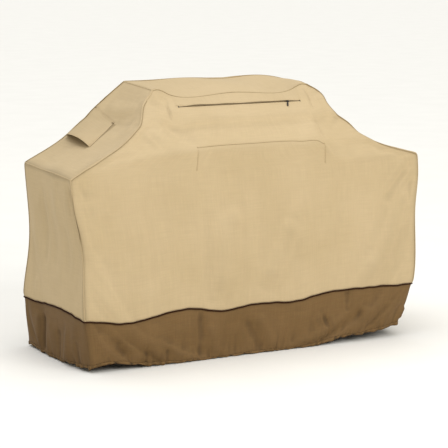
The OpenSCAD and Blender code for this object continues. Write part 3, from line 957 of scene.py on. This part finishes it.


# tubes, ribbons and rows of stitches


# a closed cross-section carried along a path: section points are (across, out); painted shade per section
# point
def sweep(name, path, nrm, section, paint, closed=False, paintedShade=None, parts=None):
    path, nrm = np.asarray(path, float), unit(np.asarray(nrm, float))
    if closed:
        along = unit(np.roll(path, -1, 0) - np.roll(path, 1, 0))
    else:
        along = unit(np.gradient(path, axis=0))
    across = unit(np.cross(along, nrm))
    nrm = np.cross(across, along)
    section = np.asarray(section, float)
    corners = path[:, None] + across[:, None] * section[:, :1][None] + nrm[:, None] * section[:, 1:][None]
    n, m = len(path), len(section)
    ids = np.arange(n * m).reshape(n, m)
    a, b = ids, np.roll(ids, -1, 0)
    if not closed:
        a, b = a[:-1], b[:-1]
    faces = np.stack([a, np.roll(a, -1, 1), np.roll(b, -1, 1), b], -1).reshape(-1, 4)
    flat = corners.reshape(-1, 3)
    middle = flat[faces].mean(1)
    area = np.cross(flat[faces[:, 2]] - flat[faces[:, 0]], flat[faces[:, 3]] - flat[faces[:, 1]])
    used = n if closed else n - 1
    axis = np.repeat(path[:used] + nrm[:used] * section[:, 1].mean(), m, axis=0)
    if ((middle - axis) * area).sum() < 0:
        faces = faces[:, ::-1]
    faces = [list(f) for f in faces]
    if not closed:
        ends = [list(ids[0]), list(ids[-1])]
        for end, way in zip(ends, (-along[0], along[-1])):
            turn = np.cross(flat[end[1]] - flat[end[0]], flat[end[2]] - flat[end[1]])
            faces.append(end if turn @ way > 0 else end[::-1])
    uv = np.stack([np.repeat(lengthAlong(path), m), np.tile(section[:, 0], n)], -1)
    shadeLevel = np.zeros(n * m) if paintedShade is None else np.tile(paintedShade, n)
    if parts is not None:
        parts.append((flat, faces, uv, shadeLevel))
        return None
    return makeMesh(name, flat, faces, mat[paint], uv, None, dict(relief=np.full(n * m, .5), paintedShade=shadeLevel))


# several swept parts as one piece, painted a little paler all over as a painted highlight
def joined(name, parts, paint, highlightLevel=0.62):
    corners, faces, uv, shadeLevel, start = [], [], [], [], 0
    for p, f, u, d in parts:
        corners.append(p)
        uv.append(u)
        shadeLevel.append(d)
        faces += [[i + start for i in face] for face in f]
        start += len(p)
    corners = np.concatenate(corners)
    return makeMesh(name, corners, faces, mat[paint], np.concatenate(uv), None,
                    dict(relief=np.full(len(corners), highlightLevel), paintedShade=np.concatenate(shadeLevel)))


# one painted light level all over, with no painted shade
def evenPaintedLight(corners, value):
    return dict(relief=np.full(len(corners), value), paintedShade=np.zeros(len(corners)))


# a round section, its middle lifted off the path
def circle(radius, sides, lift=0.0):
    turn = np.arange(sides) * 2 * math.pi / sides
    return np.stack([radius * np.cos(turn), lift + radius * np.sin(turn)], -1)


# a geometry tree that takes and gives a mesh, with its own inputs
def newTree(name, inputs):
    tree = bpy.data.node_groups.new(name, "GeometryNodeTree")
    tree.interface.new_socket("Geometry", in_out="INPUT", socket_type="NodeSocketGeometry")
    sockets = {}
    for key, (kind, value) in inputs.items():
        socket = tree.interface.new_socket(key, in_out="INPUT", socket_type=kind)
        if value is not None:
            socket.default_value = value
        sockets[key] = socket.identifier
    tree.interface.new_socket("Geometry", in_out="OUTPUT", socket_type="NodeSocketGeometry")
    return tree, sockets, add(tree, "NodeGroupInput"), add(tree, "NodeGroupOutput")


# small rounded beads set along lines at an even pitch: stitches and zip teeth
beadTree, beadSockets, beadIn, beadOut = newTree("beads_along_lines", dict(
    Pitch=("NodeSocketFloat", 0.0042), Length=("NodeSocketFloat", 0.0032), Width=("NodeSocketFloat", 0.0009),
    Height=("NodeSocketFloat", 0.0009), Material=("NodeSocketMaterial", None)))
lines = add(beadTree, "GeometryNodeMeshToCurve", links=dict(Mesh=beadIn.outputs["Geometry"]))
spread = add(beadTree, "GeometryNodeCurveToPoints", dict(mode="LENGTH"),
             links=dict(Curve=lines.outputs["Curve"], Length=beadIn.outputs["Pitch"]))
bead = add(beadTree, "GeometryNodeMeshUVSphere", inputs=dict(Segments=6, Rings=4, Radius=0.5))
beadSize = add(beadTree, "ShaderNodeCombineXYZ", links=dict(
    X=beadIn.outputs["Length"], Y=beadIn.outputs["Width"], Z=beadIn.outputs["Height"]))
shaped = add(beadTree, "GeometryNodeTransform", links=dict(
    Geometry=bead.outputs["Mesh"], Scale=beadSize.outputs[0]))
turned = add(beadTree, "FunctionNodeAlignRotationToVector", dict(axis="X"),
             links=dict(Vector=spread.outputs["Tangent"]))
copies = add(beadTree, "GeometryNodeInstanceOnPoints", links=dict(
    Points=spread.outputs["Points"], Instance=shaped.outputs["Geometry"], Rotation=turned.outputs[0]))
single = add(beadTree, "GeometryNodeRealizeInstances", links=dict(Geometry=copies.outputs[0]))
painted = add(beadTree, "GeometryNodeSetMaterial", links=dict(
    Geometry=single.outputs[0], Material=beadIn.outputs["Material"]))
beadTree.links.new(painted.outputs[0], beadOut.inputs[0])

# round threads along every edge of a mesh: the vent nets
threadTree, threadSockets, threadIn, threadOut = newTree("threads_along_edges", dict(
    Radius=("NodeSocketFloat", 0.0005), Material=("NodeSocketMaterial", None)))
meshLines = add(threadTree, "GeometryNodeMeshToCurve", links=dict(Mesh=threadIn.outputs["Geometry"]))
roundThread = add(threadTree, "GeometryNodeCurvePrimitiveCircle", inputs=dict(Resolution=4),
                  links=dict(Radius=threadIn.outputs["Radius"]))
threads = add(threadTree, "GeometryNodeCurveToMesh", inputs={"Fill Caps": True},
              links={"Curve": meshLines.outputs[0], "Profile Curve": roundThread.outputs[0]})
threadSingle = add(threadTree, "GeometryNodeRealizeInstances", links=dict(Geometry=threads.outputs[0]))
threadPaint = add(threadTree, "GeometryNodeSetMaterial", links=dict(
    Geometry=threadSingle.outputs[0], Material=threadIn.outputs["Material"]))
threadTree.links.new(threadPaint.outputs[0], threadOut.inputs[0])


# runs a geometry tree along paths and keeps the mesh that it makes
def grow(name, paths, tree, sockets, values, paint):
    corners, pairs, start = [], [], 0
    for path in paths:
        corners += np.asarray(path).tolist()
        pairs += [(start + i, start + i + 1) for i in range(len(path) - 1)]
        start += len(path)
    mesh = bpy.data.meshes.new(name + "_lines")
    mesh.from_pydata(corners, pairs, [])
    guide = newObject(name + "_lines", mesh)
    modifier = guide.modifiers.new("grow", "NODES")
    modifier.node_group = tree
    for key, value in values.items():
        modifier[sockets[key]] = value
    modifier[sockets["Material"]] = mat[paint]
    shown = guide.evaluated_get(bpy.context.evaluated_depsgraph_get())
    made = bpy.data.meshes.new_from_object(shown)
    guide.modifiers.clear()
    bpy.data.objects.remove(guide)
    made.name = name
    if not made.materials:
        made.materials.append(mat[paint])
    return newObject(name, made)


# reading places off the cloth

wallPoints = points[:nRows * nCols].reshape(nRows, nCols, 3)
wallNormals = normals[:nRows * nCols].reshape(nRows, nCols, 3)


# where a ray meets the cloth, and the cloth's normal there
def cast(start, way):
    hit, nrm, face, _ = surface.ray_cast(Vector(start), Vector(way))
    quad = allQuads[face]
    near = 1 / (np.linalg.norm(points[quad] - np.array(hit), axis=1) + 1e-5)
    return np.array(hit), unit((normals[quad] * near[:, None]).sum(0))


def castAll(starts, way):
    found = [cast(s, way) for s in starts]
    return np.array([f[0] for f in found]), np.array([f[1] for f in found])


# a path with its points an even step apart
def refine(path, step):
    path = np.asarray(path, float)
    length = lengthAlong(path)
    return between(np.linspace(0, length[-1], max(2, int(length[-1] / step))), length, path)


def column(c, low, high):
    return wallPoints[low:high + 1, c % nCols], wallNormals[low:high + 1, c % nCols]


def ringPart(row, start, stop):
    ids = np.arange(start, stop + 1) % nCols
    return wallPoints[row, ids], wallNormals[row, ids]


# hems with their elastic

hemShape = dict(thick=0.0042, inward=0.0012, pucker=0.0032, puckerLength=0.026, cord=0.0018)
hemBob = waves(29, 0.075, 1.0, 8)
puckers = waves(23, hemShape["puckerLength"], 1.0, 8)
sideStart = [0, nf, nf + ne, 2 * nf + ne, nCols]
elasticPath, elasticNormal = [], []
for hemSide, start, stop in zip(names, sideStart, sideStart[1:]):
    topEdge, nrm = ringPart(hemRow, start, stop)
    foot, _ = ringPart(0, start, stop)
    q = np.linspace(0, len(topEdge) - 1, 2 * len(topEdge) - 1)
    index = np.arange(len(topEdge))
    topEdge, foot, nrm = (between(q, index, v) for v in (topEdge, foot, nrm))
    flatNormal = unit(nrm * np.array([1, 1, 0]))
    away = distance[start] + q * (distance[(stop - 1) % nCols] - distance[start]) / max(1, stop - 1 - start)
    wave = puckers(away, 0.0 * away)
    bob = 0.0026 * hemBob(away, 0.0 * away)
    foot = foot + np.array([0, 0, 1]) * (0.0022 + bob)[:, None]
    mid = (topEdge + foot) / 2 - flatNormal * hemShape["inward"]
    half = np.linalg.norm(topEdge - foot, axis=1) / 2
    rise = unit(topEdge - foot)
    rings = []
    # round the tunnel, from its outer top edge to its inner
    for k in range(13):
        turn = math.radians(84 - 348 * k / 12)
        c, s = math.cos(turn), math.sin(turn)
        c, s = math.copysign(abs(c) ** 0.8, c), math.copysign(abs(s) ** 0.7, s)
        swell = hemShape["thick"] + hemShape["pucker"] * wave * (0.6 - 0.4 * s) * (1 if c > 0 else 0.4)
        high = half * s * (1 + 0.03 * wave)
        rings.append(mid + flatNormal * (swell * c)[:, None] + rise * high[:, None])
    tube = np.stack(rings, 1)
    tube[..., 2] = np.maximum(tube[..., 2], 0.0)
    n, m = tube.shape[:2]
    faces = gridQuads(n, m, across=True)
    flatTube = tube.reshape(-1, 3)
    awayFrom = unit(flatTube - np.repeat(mid, m, axis=0))
    turnOut = np.cross(flatTube[faces[:, 2]] - flatTube[faces[:, 0]],
                       flatTube[faces[:, 3]] - flatTube[faces[:, 1]])
    if (turnOut * awayFrom[faces[:, 0]]).sum() < 0:
        faces = faces[:, ::-1]
    corners, nrm, faces = thicken(flatTube, awayFrom, faces, 0.0008)
    uv = np.stack([np.repeat(away, m), np.tile(np.arange(m) * 0.005, n)], -1)
    # painted shade and painted highlight that follow the puckers, a little darker overall
    paintedLightLevel = np.clip(0.5 + 0.16 * np.repeat(wave, m), 0.15, 0.9)
    # the tunnel's lower edge is darker
    edge = np.tile(np.interp(abs(np.arange(m) - 6.0), (0.8, 2.2), (0.85, 0.0)), n)
    # the ends' hems get the same painted shade as the ends' skirts
    edge = np.maximum(edge, endShade * (hemSide in ("left", "right")))
    obj = makeMesh(hemSide + "_hem_tunnel", corners, faces, mat["brown"], np.tile(uv, (2, 1)), None,
                   dict(relief=np.tile(paintedLightLevel - 0.08, 2), paintedShade=np.tile(edge, 2)))
    place(obj, "cover", "skirt_cloth", hemSide + "_hem")
    elasticPath.append(mid[:-1])
    elasticNormal.append(flatNormal[:-1])
elasticLine = np.concatenate(elasticPath)
elasticLine[:, 2] = np.maximum(elasticLine[:, 2], 0.006)
elastic = sweep("elastic_cord_braided", elasticLine, np.concatenate(elasticNormal),
                circle(hemShape["cord"], 8), "elastic", closed=True)
place(elastic, "cover", "elastic", "elastic_cord")
print("hems and elastic made")

# piping round the top of the skirt

pipe = dict(radius=0.0036, lift=0.0020, wobble=0.0010)
pipePath, pipeNormal = ringPart(bandRow, 0, nCols - 1)
pipeWave = waves(31, .06, 1.0, 6)(distance, 0 * distance)
pipePath = pipePath + np.array([0, 0, 1]) * (pipe["wobble"] * pipeWave)[:, None]
piping = sweep("piping_corded", pipePath, pipeNormal, circle(pipe["radius"], 12, pipe["lift"]), "piping",
               closed=True)
place(piping, "cover", "piping_cord", "piping")

# the panels' folded edge stands just above the piping and catches the light, and is painted paler as a
# painted highlight
foldUp = dict(gap=0.0062, width=0.0040, high=0.0016)
halfFold = foldUp["width"] / 2
foldSection = [(-halfFold, -0.0006), (-halfFold, foldUp["high"]), (0, foldUp["high"] * 1.2),
               (halfFold, 0.0004), (halfFold, -0.0006)]
foldPath = pipePath + np.array([0, 0, foldUp["gap"]])
foldParts = []
sweep("", foldPath, pipeNormal, foldSection, "tan", closed=True, parts=foldParts)
place(joined("panel_edge_fold", foldParts, "tan", 0.85), "cover", "body_cloth")

# sewn seams

# the last value is the width of the low strip beside each seam, which carries painted shade
seam = dict(width=0.0105, high=0.0021, paintedShade=0.0024)
halfSeam = seam["width"] / 2
seamSection = [(-halfSeam - seam["paintedShade"], -0.0008), (-halfSeam - seam["paintedShade"], 0.0002),
               (-halfSeam - 0.0003, 0.0004), (-halfSeam, 0.0016), (-seam["width"] / 4, seam["high"]),
               (seam["width"] / 4, 0.0016), (halfSeam, 0.0002), (halfSeam, -0.0008)]
seamShadeProfile = [1.0, 1.0, 1.0, 0.35, 0.0, 0.0, 0.0, 0.0]
stitchPaths = []


# a felled seam along a path, with a groove on one side that carries painted shade, and two rows of stitches
def addSeam(parts, path, nrm, flip=False, narrow=1.0, shadeLevel=0.6):
    both = refine(np.concatenate([path, nrm], 1), 0.006)
    line, n = both[:, :3], unit(both[:, 3:])
    section = np.array(seamSection) * np.array([-1 if flip else 1, 1]) * np.array([narrow, 1])
    sweep("", line, n, section, "tan", paintedShade=shadeLevel * np.array(seamShadeProfile), parts=parts)
    side = unit(np.cross(unit(np.gradient(line, axis=0)), n)) * (-1 if flip else 1)
    for s in (-0.28, 0.28):
        stitchPaths.append(line + side * (s * seam["width"] * narrow) + n * (0.0019 if s < 0 else 0.0015))


cornerParts, shoulderParts, ridgeParts, kneeParts, shelfParts = [], [], [], [], []
for c, flip, shadeLevel in ((0, True, .62), (nf, False, .35), (nf + ne, False, .3), (2 * nf + ne, True, .3)):
    addSeam(cornerParts, *column(c, bandRow, shelfRow), flip=flip, narrow=0.55, shadeLevel=.18)
    addSeam(shoulderParts, *column(c, shelfRow, last), flip=flip, shadeLevel=shadeLevel)
for k, shadeLevel in enumerate((.85, .3, .2, .45)):
    addSeam(ridgeParts, *ringPart(last, sideStart[k], sideStart[k + 1]), flip=k == 0, narrow=0.6, shadeLevel=shadeLevel)
for k in (1, 3, 2):
    addSeam(shelfParts, *ringPart(shelfRow, sideStart[k], sideStart[k + 1]), narrow=0.5, shadeLevel=.1)
kneeX = np.linspace(-.28, .38, 140)
kneeSpots = [(x, -1.0, max(float(shape["knee"](x)) + 0.008, 0.966)) for x in kneeX]
kneeLine, kneeNormal = castAll(kneeSpots, (0, 1, 0))
addSeam(kneeParts, kneeLine, kneeNormal, flip=True, narrow=0.6, shadeLevel=.5)
for path, shadeLevel in (([(-.28, .97), (-.29, .88)], .3), ([(.38, .965), (.38, .875)], .5)):
    spots = refine(np.array(path), 0.008)
    seamLine, seamNormal = castAll([(x, -1.0, z) for x, z in spots], (0, 1, 0))
    addSeam(kneeParts, seamLine, seamNormal, narrow=0.45, shadeLevel=shadeLevel)
for name, parts in (("corner_seams", cornerParts), ("shoulder_seams", shoulderParts),
                    ("ridge_seams", ridgeParts), ("knee_seam_and_darts", kneeParts),
                    ("shelf_seams", shelfParts)):
    place(joined(name, parts, "tan"), "cover", "body_cloth")

stitch = dict(Pitch=0.0042, Length=0.0031, Width=0.0008, Height=0.0008)
for edgeRow in (zipRow - 1, zipRow + 1):
    ids = [c for c in range(nf)
           if size["zipLeft"] - .01 < wallPoints[edgeRow, c, 0] < size["zipRight"] + .01]
    shift = up * (-0.007 if edgeRow < zipRow else 0.007)
    stitchPaths.append(wallPoints[edgeRow, ids] + shift + wallNormals[edgeRow, ids] * 0.0004)
p, outward = ringPart(bandRow, 0, nCols)
stitchPaths.append(p + np.array([0, 0, 0.0065]) + outward * 0.0005)
place(grow("stitching_tan", stitchPaths, beadTree, beadSockets, stitch, "thread"), "cover", "body_cloth")
hemPath, hemNormal = ringPart(hemRow, 0, nCols)
allRound = list(range(nCols)) + [0]
lowPaths = [hemPath + np.array([0, 0, 0.002]) + hemNormal * 0.0008,
            pipePath[allRound] - np.array([0, 0, 0.0065]) + pipeNormal[allRound] * 0.0006]
place(grow("stitching_brown", lowPaths, beadTree, beadSockets, stitch, "darkThread"), "cover", "skirt_cloth")
print("seams and stitches made")

# zip

zipper = dict(tapeIn=0.0016, tapeOut=0.013, drop=0.0022, tape=0.0008, pitch=0.0030)


# a place on the hood's slope: x along the zip, s up the slope from it, h out of it
def onSlope(x, s, h):
    base = np.array([0, size["zipY"], size["zipZ"]])
    return np.array([1, 0, 0]) * np.atleast_1d(x)[:, None] + base + up * s + out * h


zipX = np.linspace(size["zipLeft"] - .004, size["zipRight"] + .004, 160)
for name, way in (("upper_zip_tape", 1), ("lower_zip_tape", -1)):
    steps = np.linspace(zipper["tapeIn"], zipper["tapeOut"], 5) * way
    sheetPoints = np.stack([onSlope(zipX, s, -zipper["drop"] + 0.0001 * math.sin(900 * s))
                            for s in steps], 1)
    n, m = sheetPoints.shape[:2]
    faces = gridQuads(n, m)
    if way < 0:
        faces = faces[:, ::-1]
    tapePoints, _, faces = thicken(sheetPoints.reshape(-1, 3), np.tile(out, (n * m, 1)), faces,
                                   zipper["tape"])
    obj = makeMesh(name + "_woven", tapePoints, faces, mat["tape"])
    place(obj, "cover", "zip_tape", name)
for name, way in (("upper_zip_coil", 1), ("lower_zip_coil", -1)):
    shift = zipper["pitch"] / 2 if way < 0 else 0
    coilX = np.linspace(size["zipLeft"] + .004 + shift, size["zipRight"] - .004, 200)
    path = onSlope(coilX, way * 0.0008, -0.0008)
    teeth = grow(name + "_teeth", [path], beadTree, beadSockets,
                 dict(Pitch=zipper["pitch"], Length=0.0019, Width=0.0038, Height=0.0018), "coil")
    place(teeth, "cover", "zip_coil", name)
print("zip made")

# a flap that hangs from its hinge: its sheet
def hungFlap(name, corners, faces, uv, nrm, paintedLightLevel):
    obj = makeMesh(name + "_cloth", corners, faces, mat["tan"], np.tile(uv, (2, 1)), nrm,
                   evenPaintedLight(corners, paintedLightLevel))
    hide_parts(name)
    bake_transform(obj)


# storm flap over the zip

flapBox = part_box("storm_flap")
flap = dict(left=flapBox[0][0], right=flapBox[1][0], lowLift=0.0056, highLift=0.0016)
flapX = np.linspace(flap["left"], flap["right"], 100)
flapRows = list(range(zipRow + 1, last))
flapPoints, flapNormals = [], []
for i, r in enumerate(flapRows):
    p, outward = wallPoints[r, :nf], wallNormals[r, :nf]
    t = i / (len(flapRows) - 1)
    at = between(flapX, p[:, 0], p)
    nn = unit(between(flapX, p[:, 0], outward))
    ends = smooth(np.minimum(flapX - flap["left"], flap["right"] - flapX) / 0.09)
    raised = flap["highLift"] + (flap["lowLift"] - flap["highLift"]) * (1 - t) ** 1.4 * (0.05 + 0.95 * ends)
    raised = raised * (0.25 + 0.75 * ends) + 0.0009 * waves(41, .12, 1.0, 6)(flapX, 0 * flapX) * (1 - t)
    flapPoints.append(at + nn * raised[:, None])
    flapNormals.append(nn)
flapPoints, flapNormals = np.array(flapPoints), np.array(flapNormals)
n, m = flapPoints.shape[:2]
faces = gridQuads(n, m, across=True)
corners, nrm, faces = thicken(flapPoints.reshape(-1, 3), flapNormals.reshape(-1, 3), faces, size["cloth"])
flapFlow = np.stack([np.tile(flapX, n), np.repeat(np.arange(n) * 0.007, m)], -1)
# the storm flap is painted a little paler, a painted highlight
hungFlap("storm_flap", corners, faces, flapFlow, nrm, .55)
flapStitches = [flapPoints[1] + flapNormals[1] * 0.0005,
                np.stack([flapPoints[i, 1] for i in range(1, n - 4)]) + flapNormals[1, 1] * 0.0005,
                np.stack([flapPoints[i, -2] for i in range(1, n - 4)]) + flapNormals[1, -2] * 0.0005]
place(grow("storm_flap_stitching", flapStitches, beadTree, beadSockets, stitch, "thread"),
      "storm_flap", "body_cloth")
print("storm flap made")

# vents in the shoulders

vent = dict(arch=0.035, drop=0.165, binding=0.017, slope=30.5, thick=0.0016, above=2.0)
for way, name in ((-1, "left"), (1, "right")):
    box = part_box(name + "_vent_flap")
    hingeX = box[1][0] if way < 0 else box[0][0]
    yLow, yHigh = box[0][1], box[1][1]
    s = np.linspace(0, vent["drop"], 26)
    v = np.linspace(0, 1, 44)
    rowsOut, nrmOut = [], []
    for k in s:
        t = k / vent["drop"]
        ya = yLow + 0.028 * (1 - t) - 0.012 * t
        yb = yHigh - 0.020 * (1 - t) + 0.012 * t
        x = hingeX + way * k * math.cos(math.radians(vent["slope"]))
        p, outward = castAll([(x, y, vent["above"]) for y in ya + (yb - ya) * v], (0, 0, -1))
        arch = np.sin(math.pi * v) ** 0.65 * vent["arch"] * t ** 1.3
        rowsOut.append(p + outward * (0.0019 + arch)[:, None])
        nrmOut.append(outward)
    flapGrid = np.array(rowsOut)
    du, dv = np.gradient(flapGrid, axis=0), np.gradient(flapGrid, axis=1)
    gridN = unit(np.cross(dv, du))
    if gridN[..., 2].mean() < 0:
        gridN = -gridN
    n, m = flapGrid.shape[:2]
    faces = gridQuads(n, m)
    flatGrid = flapGrid.reshape(-1, 3)
    turn = np.cross(flatGrid[faces[:, 2]] - flatGrid[faces[:, 0]],
                    flatGrid[faces[:, 3]] - flatGrid[faces[:, 1]])
    if turn[:, 2].mean() < 0:
        faces = faces[:, ::-1]
    corners, nrm, faces = thicken(flatGrid, gridN.reshape(-1, 3), faces, vent["thick"])
    uv = np.stack([np.repeat(s, m), np.tile(v * 0.27, n)], -1)
    # the vent flap is painted a little paler, a painted highlight
    hungFlap(name + "_vent_flap", corners, faces, uv, nrm, .58)
    onFlap = flapGrid + gridN * 0.0004
    ventStitch = [onFlap[-2], onFlap[11:, 1], onFlap[11:, -2]]
    place(grow(name + "_vent_flap_stitching", ventStitch, beadTree, beadSockets, stitch, "thread"),
          name + "_vent_flap", "body_cloth")
    bar = [flapGrid[0] + gridN[0] * 0.0006, flapGrid[1] + gridN[1] * 0.0006]
    place(grow(name + "_vent_hinge_stitching", bar, beadTree, beadSockets, stitch, "thread"),
          "cover", "body_cloth")
    # bar tacks at the flap's two upper corners
    tacks = []
    for c in (1, m - 2):
        for k in range(4):
            base = flapGrid[1, c] + gridN[1, c] * 0.0012 + np.array([way * 0.0010 * k, 0, 0])
            tacks.append(np.array([base - [0, 0.006, 0], base + [0, 0.006, 0]]))
    barTack = dict(Pitch=0.0030, Length=0.0040, Width=0.0012, Height=0.0014)
    place(grow(name + "_vent_bar_tacks", tacks, beadTree, beadSockets, barTack, "darkThread"),
          "cover", "body_cloth")
    # bias binding round the opening, and the net behind it
    lowNet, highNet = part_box(name + "_vent_mesh")
    x0, x1, y0, y1 = lowNet[0] + .006, highNet[0] - .006, lowNet[1] + .006, highNet[1] - .006
    frameLine = refine([(x0, y0), (x1, y0), (x1, y1), (x0, y1), (x0, y0)], 0.006)[:-1]
    framePoints, frameNormals = castAll([(x, y, vent["above"]) for x, y in frameLine], (0, 0, -1))
    w = vent["binding"] / 2
    section = [(-w, -.0016), (-w, .0008), (0, .0016), (w, .0008), (w, -.0016)]
    bind = sweep(name + "_vent_binding_tape", framePoints, frameNormals, section, "tan", closed=True)
    place(bind, "cover", "body_cloth", name + "_vent_binding")
    netX, netY = np.linspace(x0, x1, 11), np.linspace(y0, y1, 40)
    netPoints, _ = castAll([(x, y, vent["above"]) for x in netX for y in netY], (0, 0, -1))
    netPoints = netPoints.reshape(len(netX), len(netY), 3) - np.array([0, 0, 0.0024])
    netLines = list(netPoints) + list(netPoints.transpose(1, 0, 2))
    net = grow(name + "_vent_net", netLines, threadTree, threadSockets, dict(Radius=0.0006), "net")
    place(net, "cover", "vent_net", name + "_vent_mesh")
print("vents made")

# pocket bag behind the zip

pocket = dict(deep=0.145, gap=0.012, near=0.006)
px = np.linspace(size["zipLeft"] + .004, size["zipRight"] - .004, 60)
depths = np.linspace(0, pocket["deep"], 16)
bag = []
for depthIn, order in ((pocket["near"], depths), (pocket["near"] + pocket["gap"], depths[::-1])):
    for s in order:
        bulge = 0.002 * math.sin(math.pi * s / pocket["deep"])
        bag.append(onSlope(px, -s - 0.004, -depthIn - 0.14 * s - (bulge if depthIn > 0.01 else 0)))
bag = np.array(bag)
n, m = bag.shape[:2]
faces = gridQuads(n, m)
bagNormals = np.concatenate([np.tile(out, (n // 2 * m, 1)), np.tile(-out, (n // 2 * m, 1))])
corners, nrm, faces = thicken(bag.reshape(-1, 3), bagNormals, faces, 0.0006)
bagFlow = np.stack([np.tile(px, n), np.repeat(np.arange(n) * 0.0097, m)], -1)
bagObj = makeMesh("pocket_lining_bag", corners, faces, mat["lining"], np.tile(bagFlow, (2, 1)), None,
                  evenPaintedLight(corners, .5))
place(bagObj, "cover", "lining_cloth", "pocket_lining")

# metal and rubber parts of the zip

for name in ("zip_top_stop", "zip_bottom_stop", "zip_slider", "pull_link", "pull_tab"):
    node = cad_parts[name]
    node.data.materials.clear()
    node.data.materials.append(mat["rubber" if name == "pull_tab" else "zinc"])
print("small parts finished")
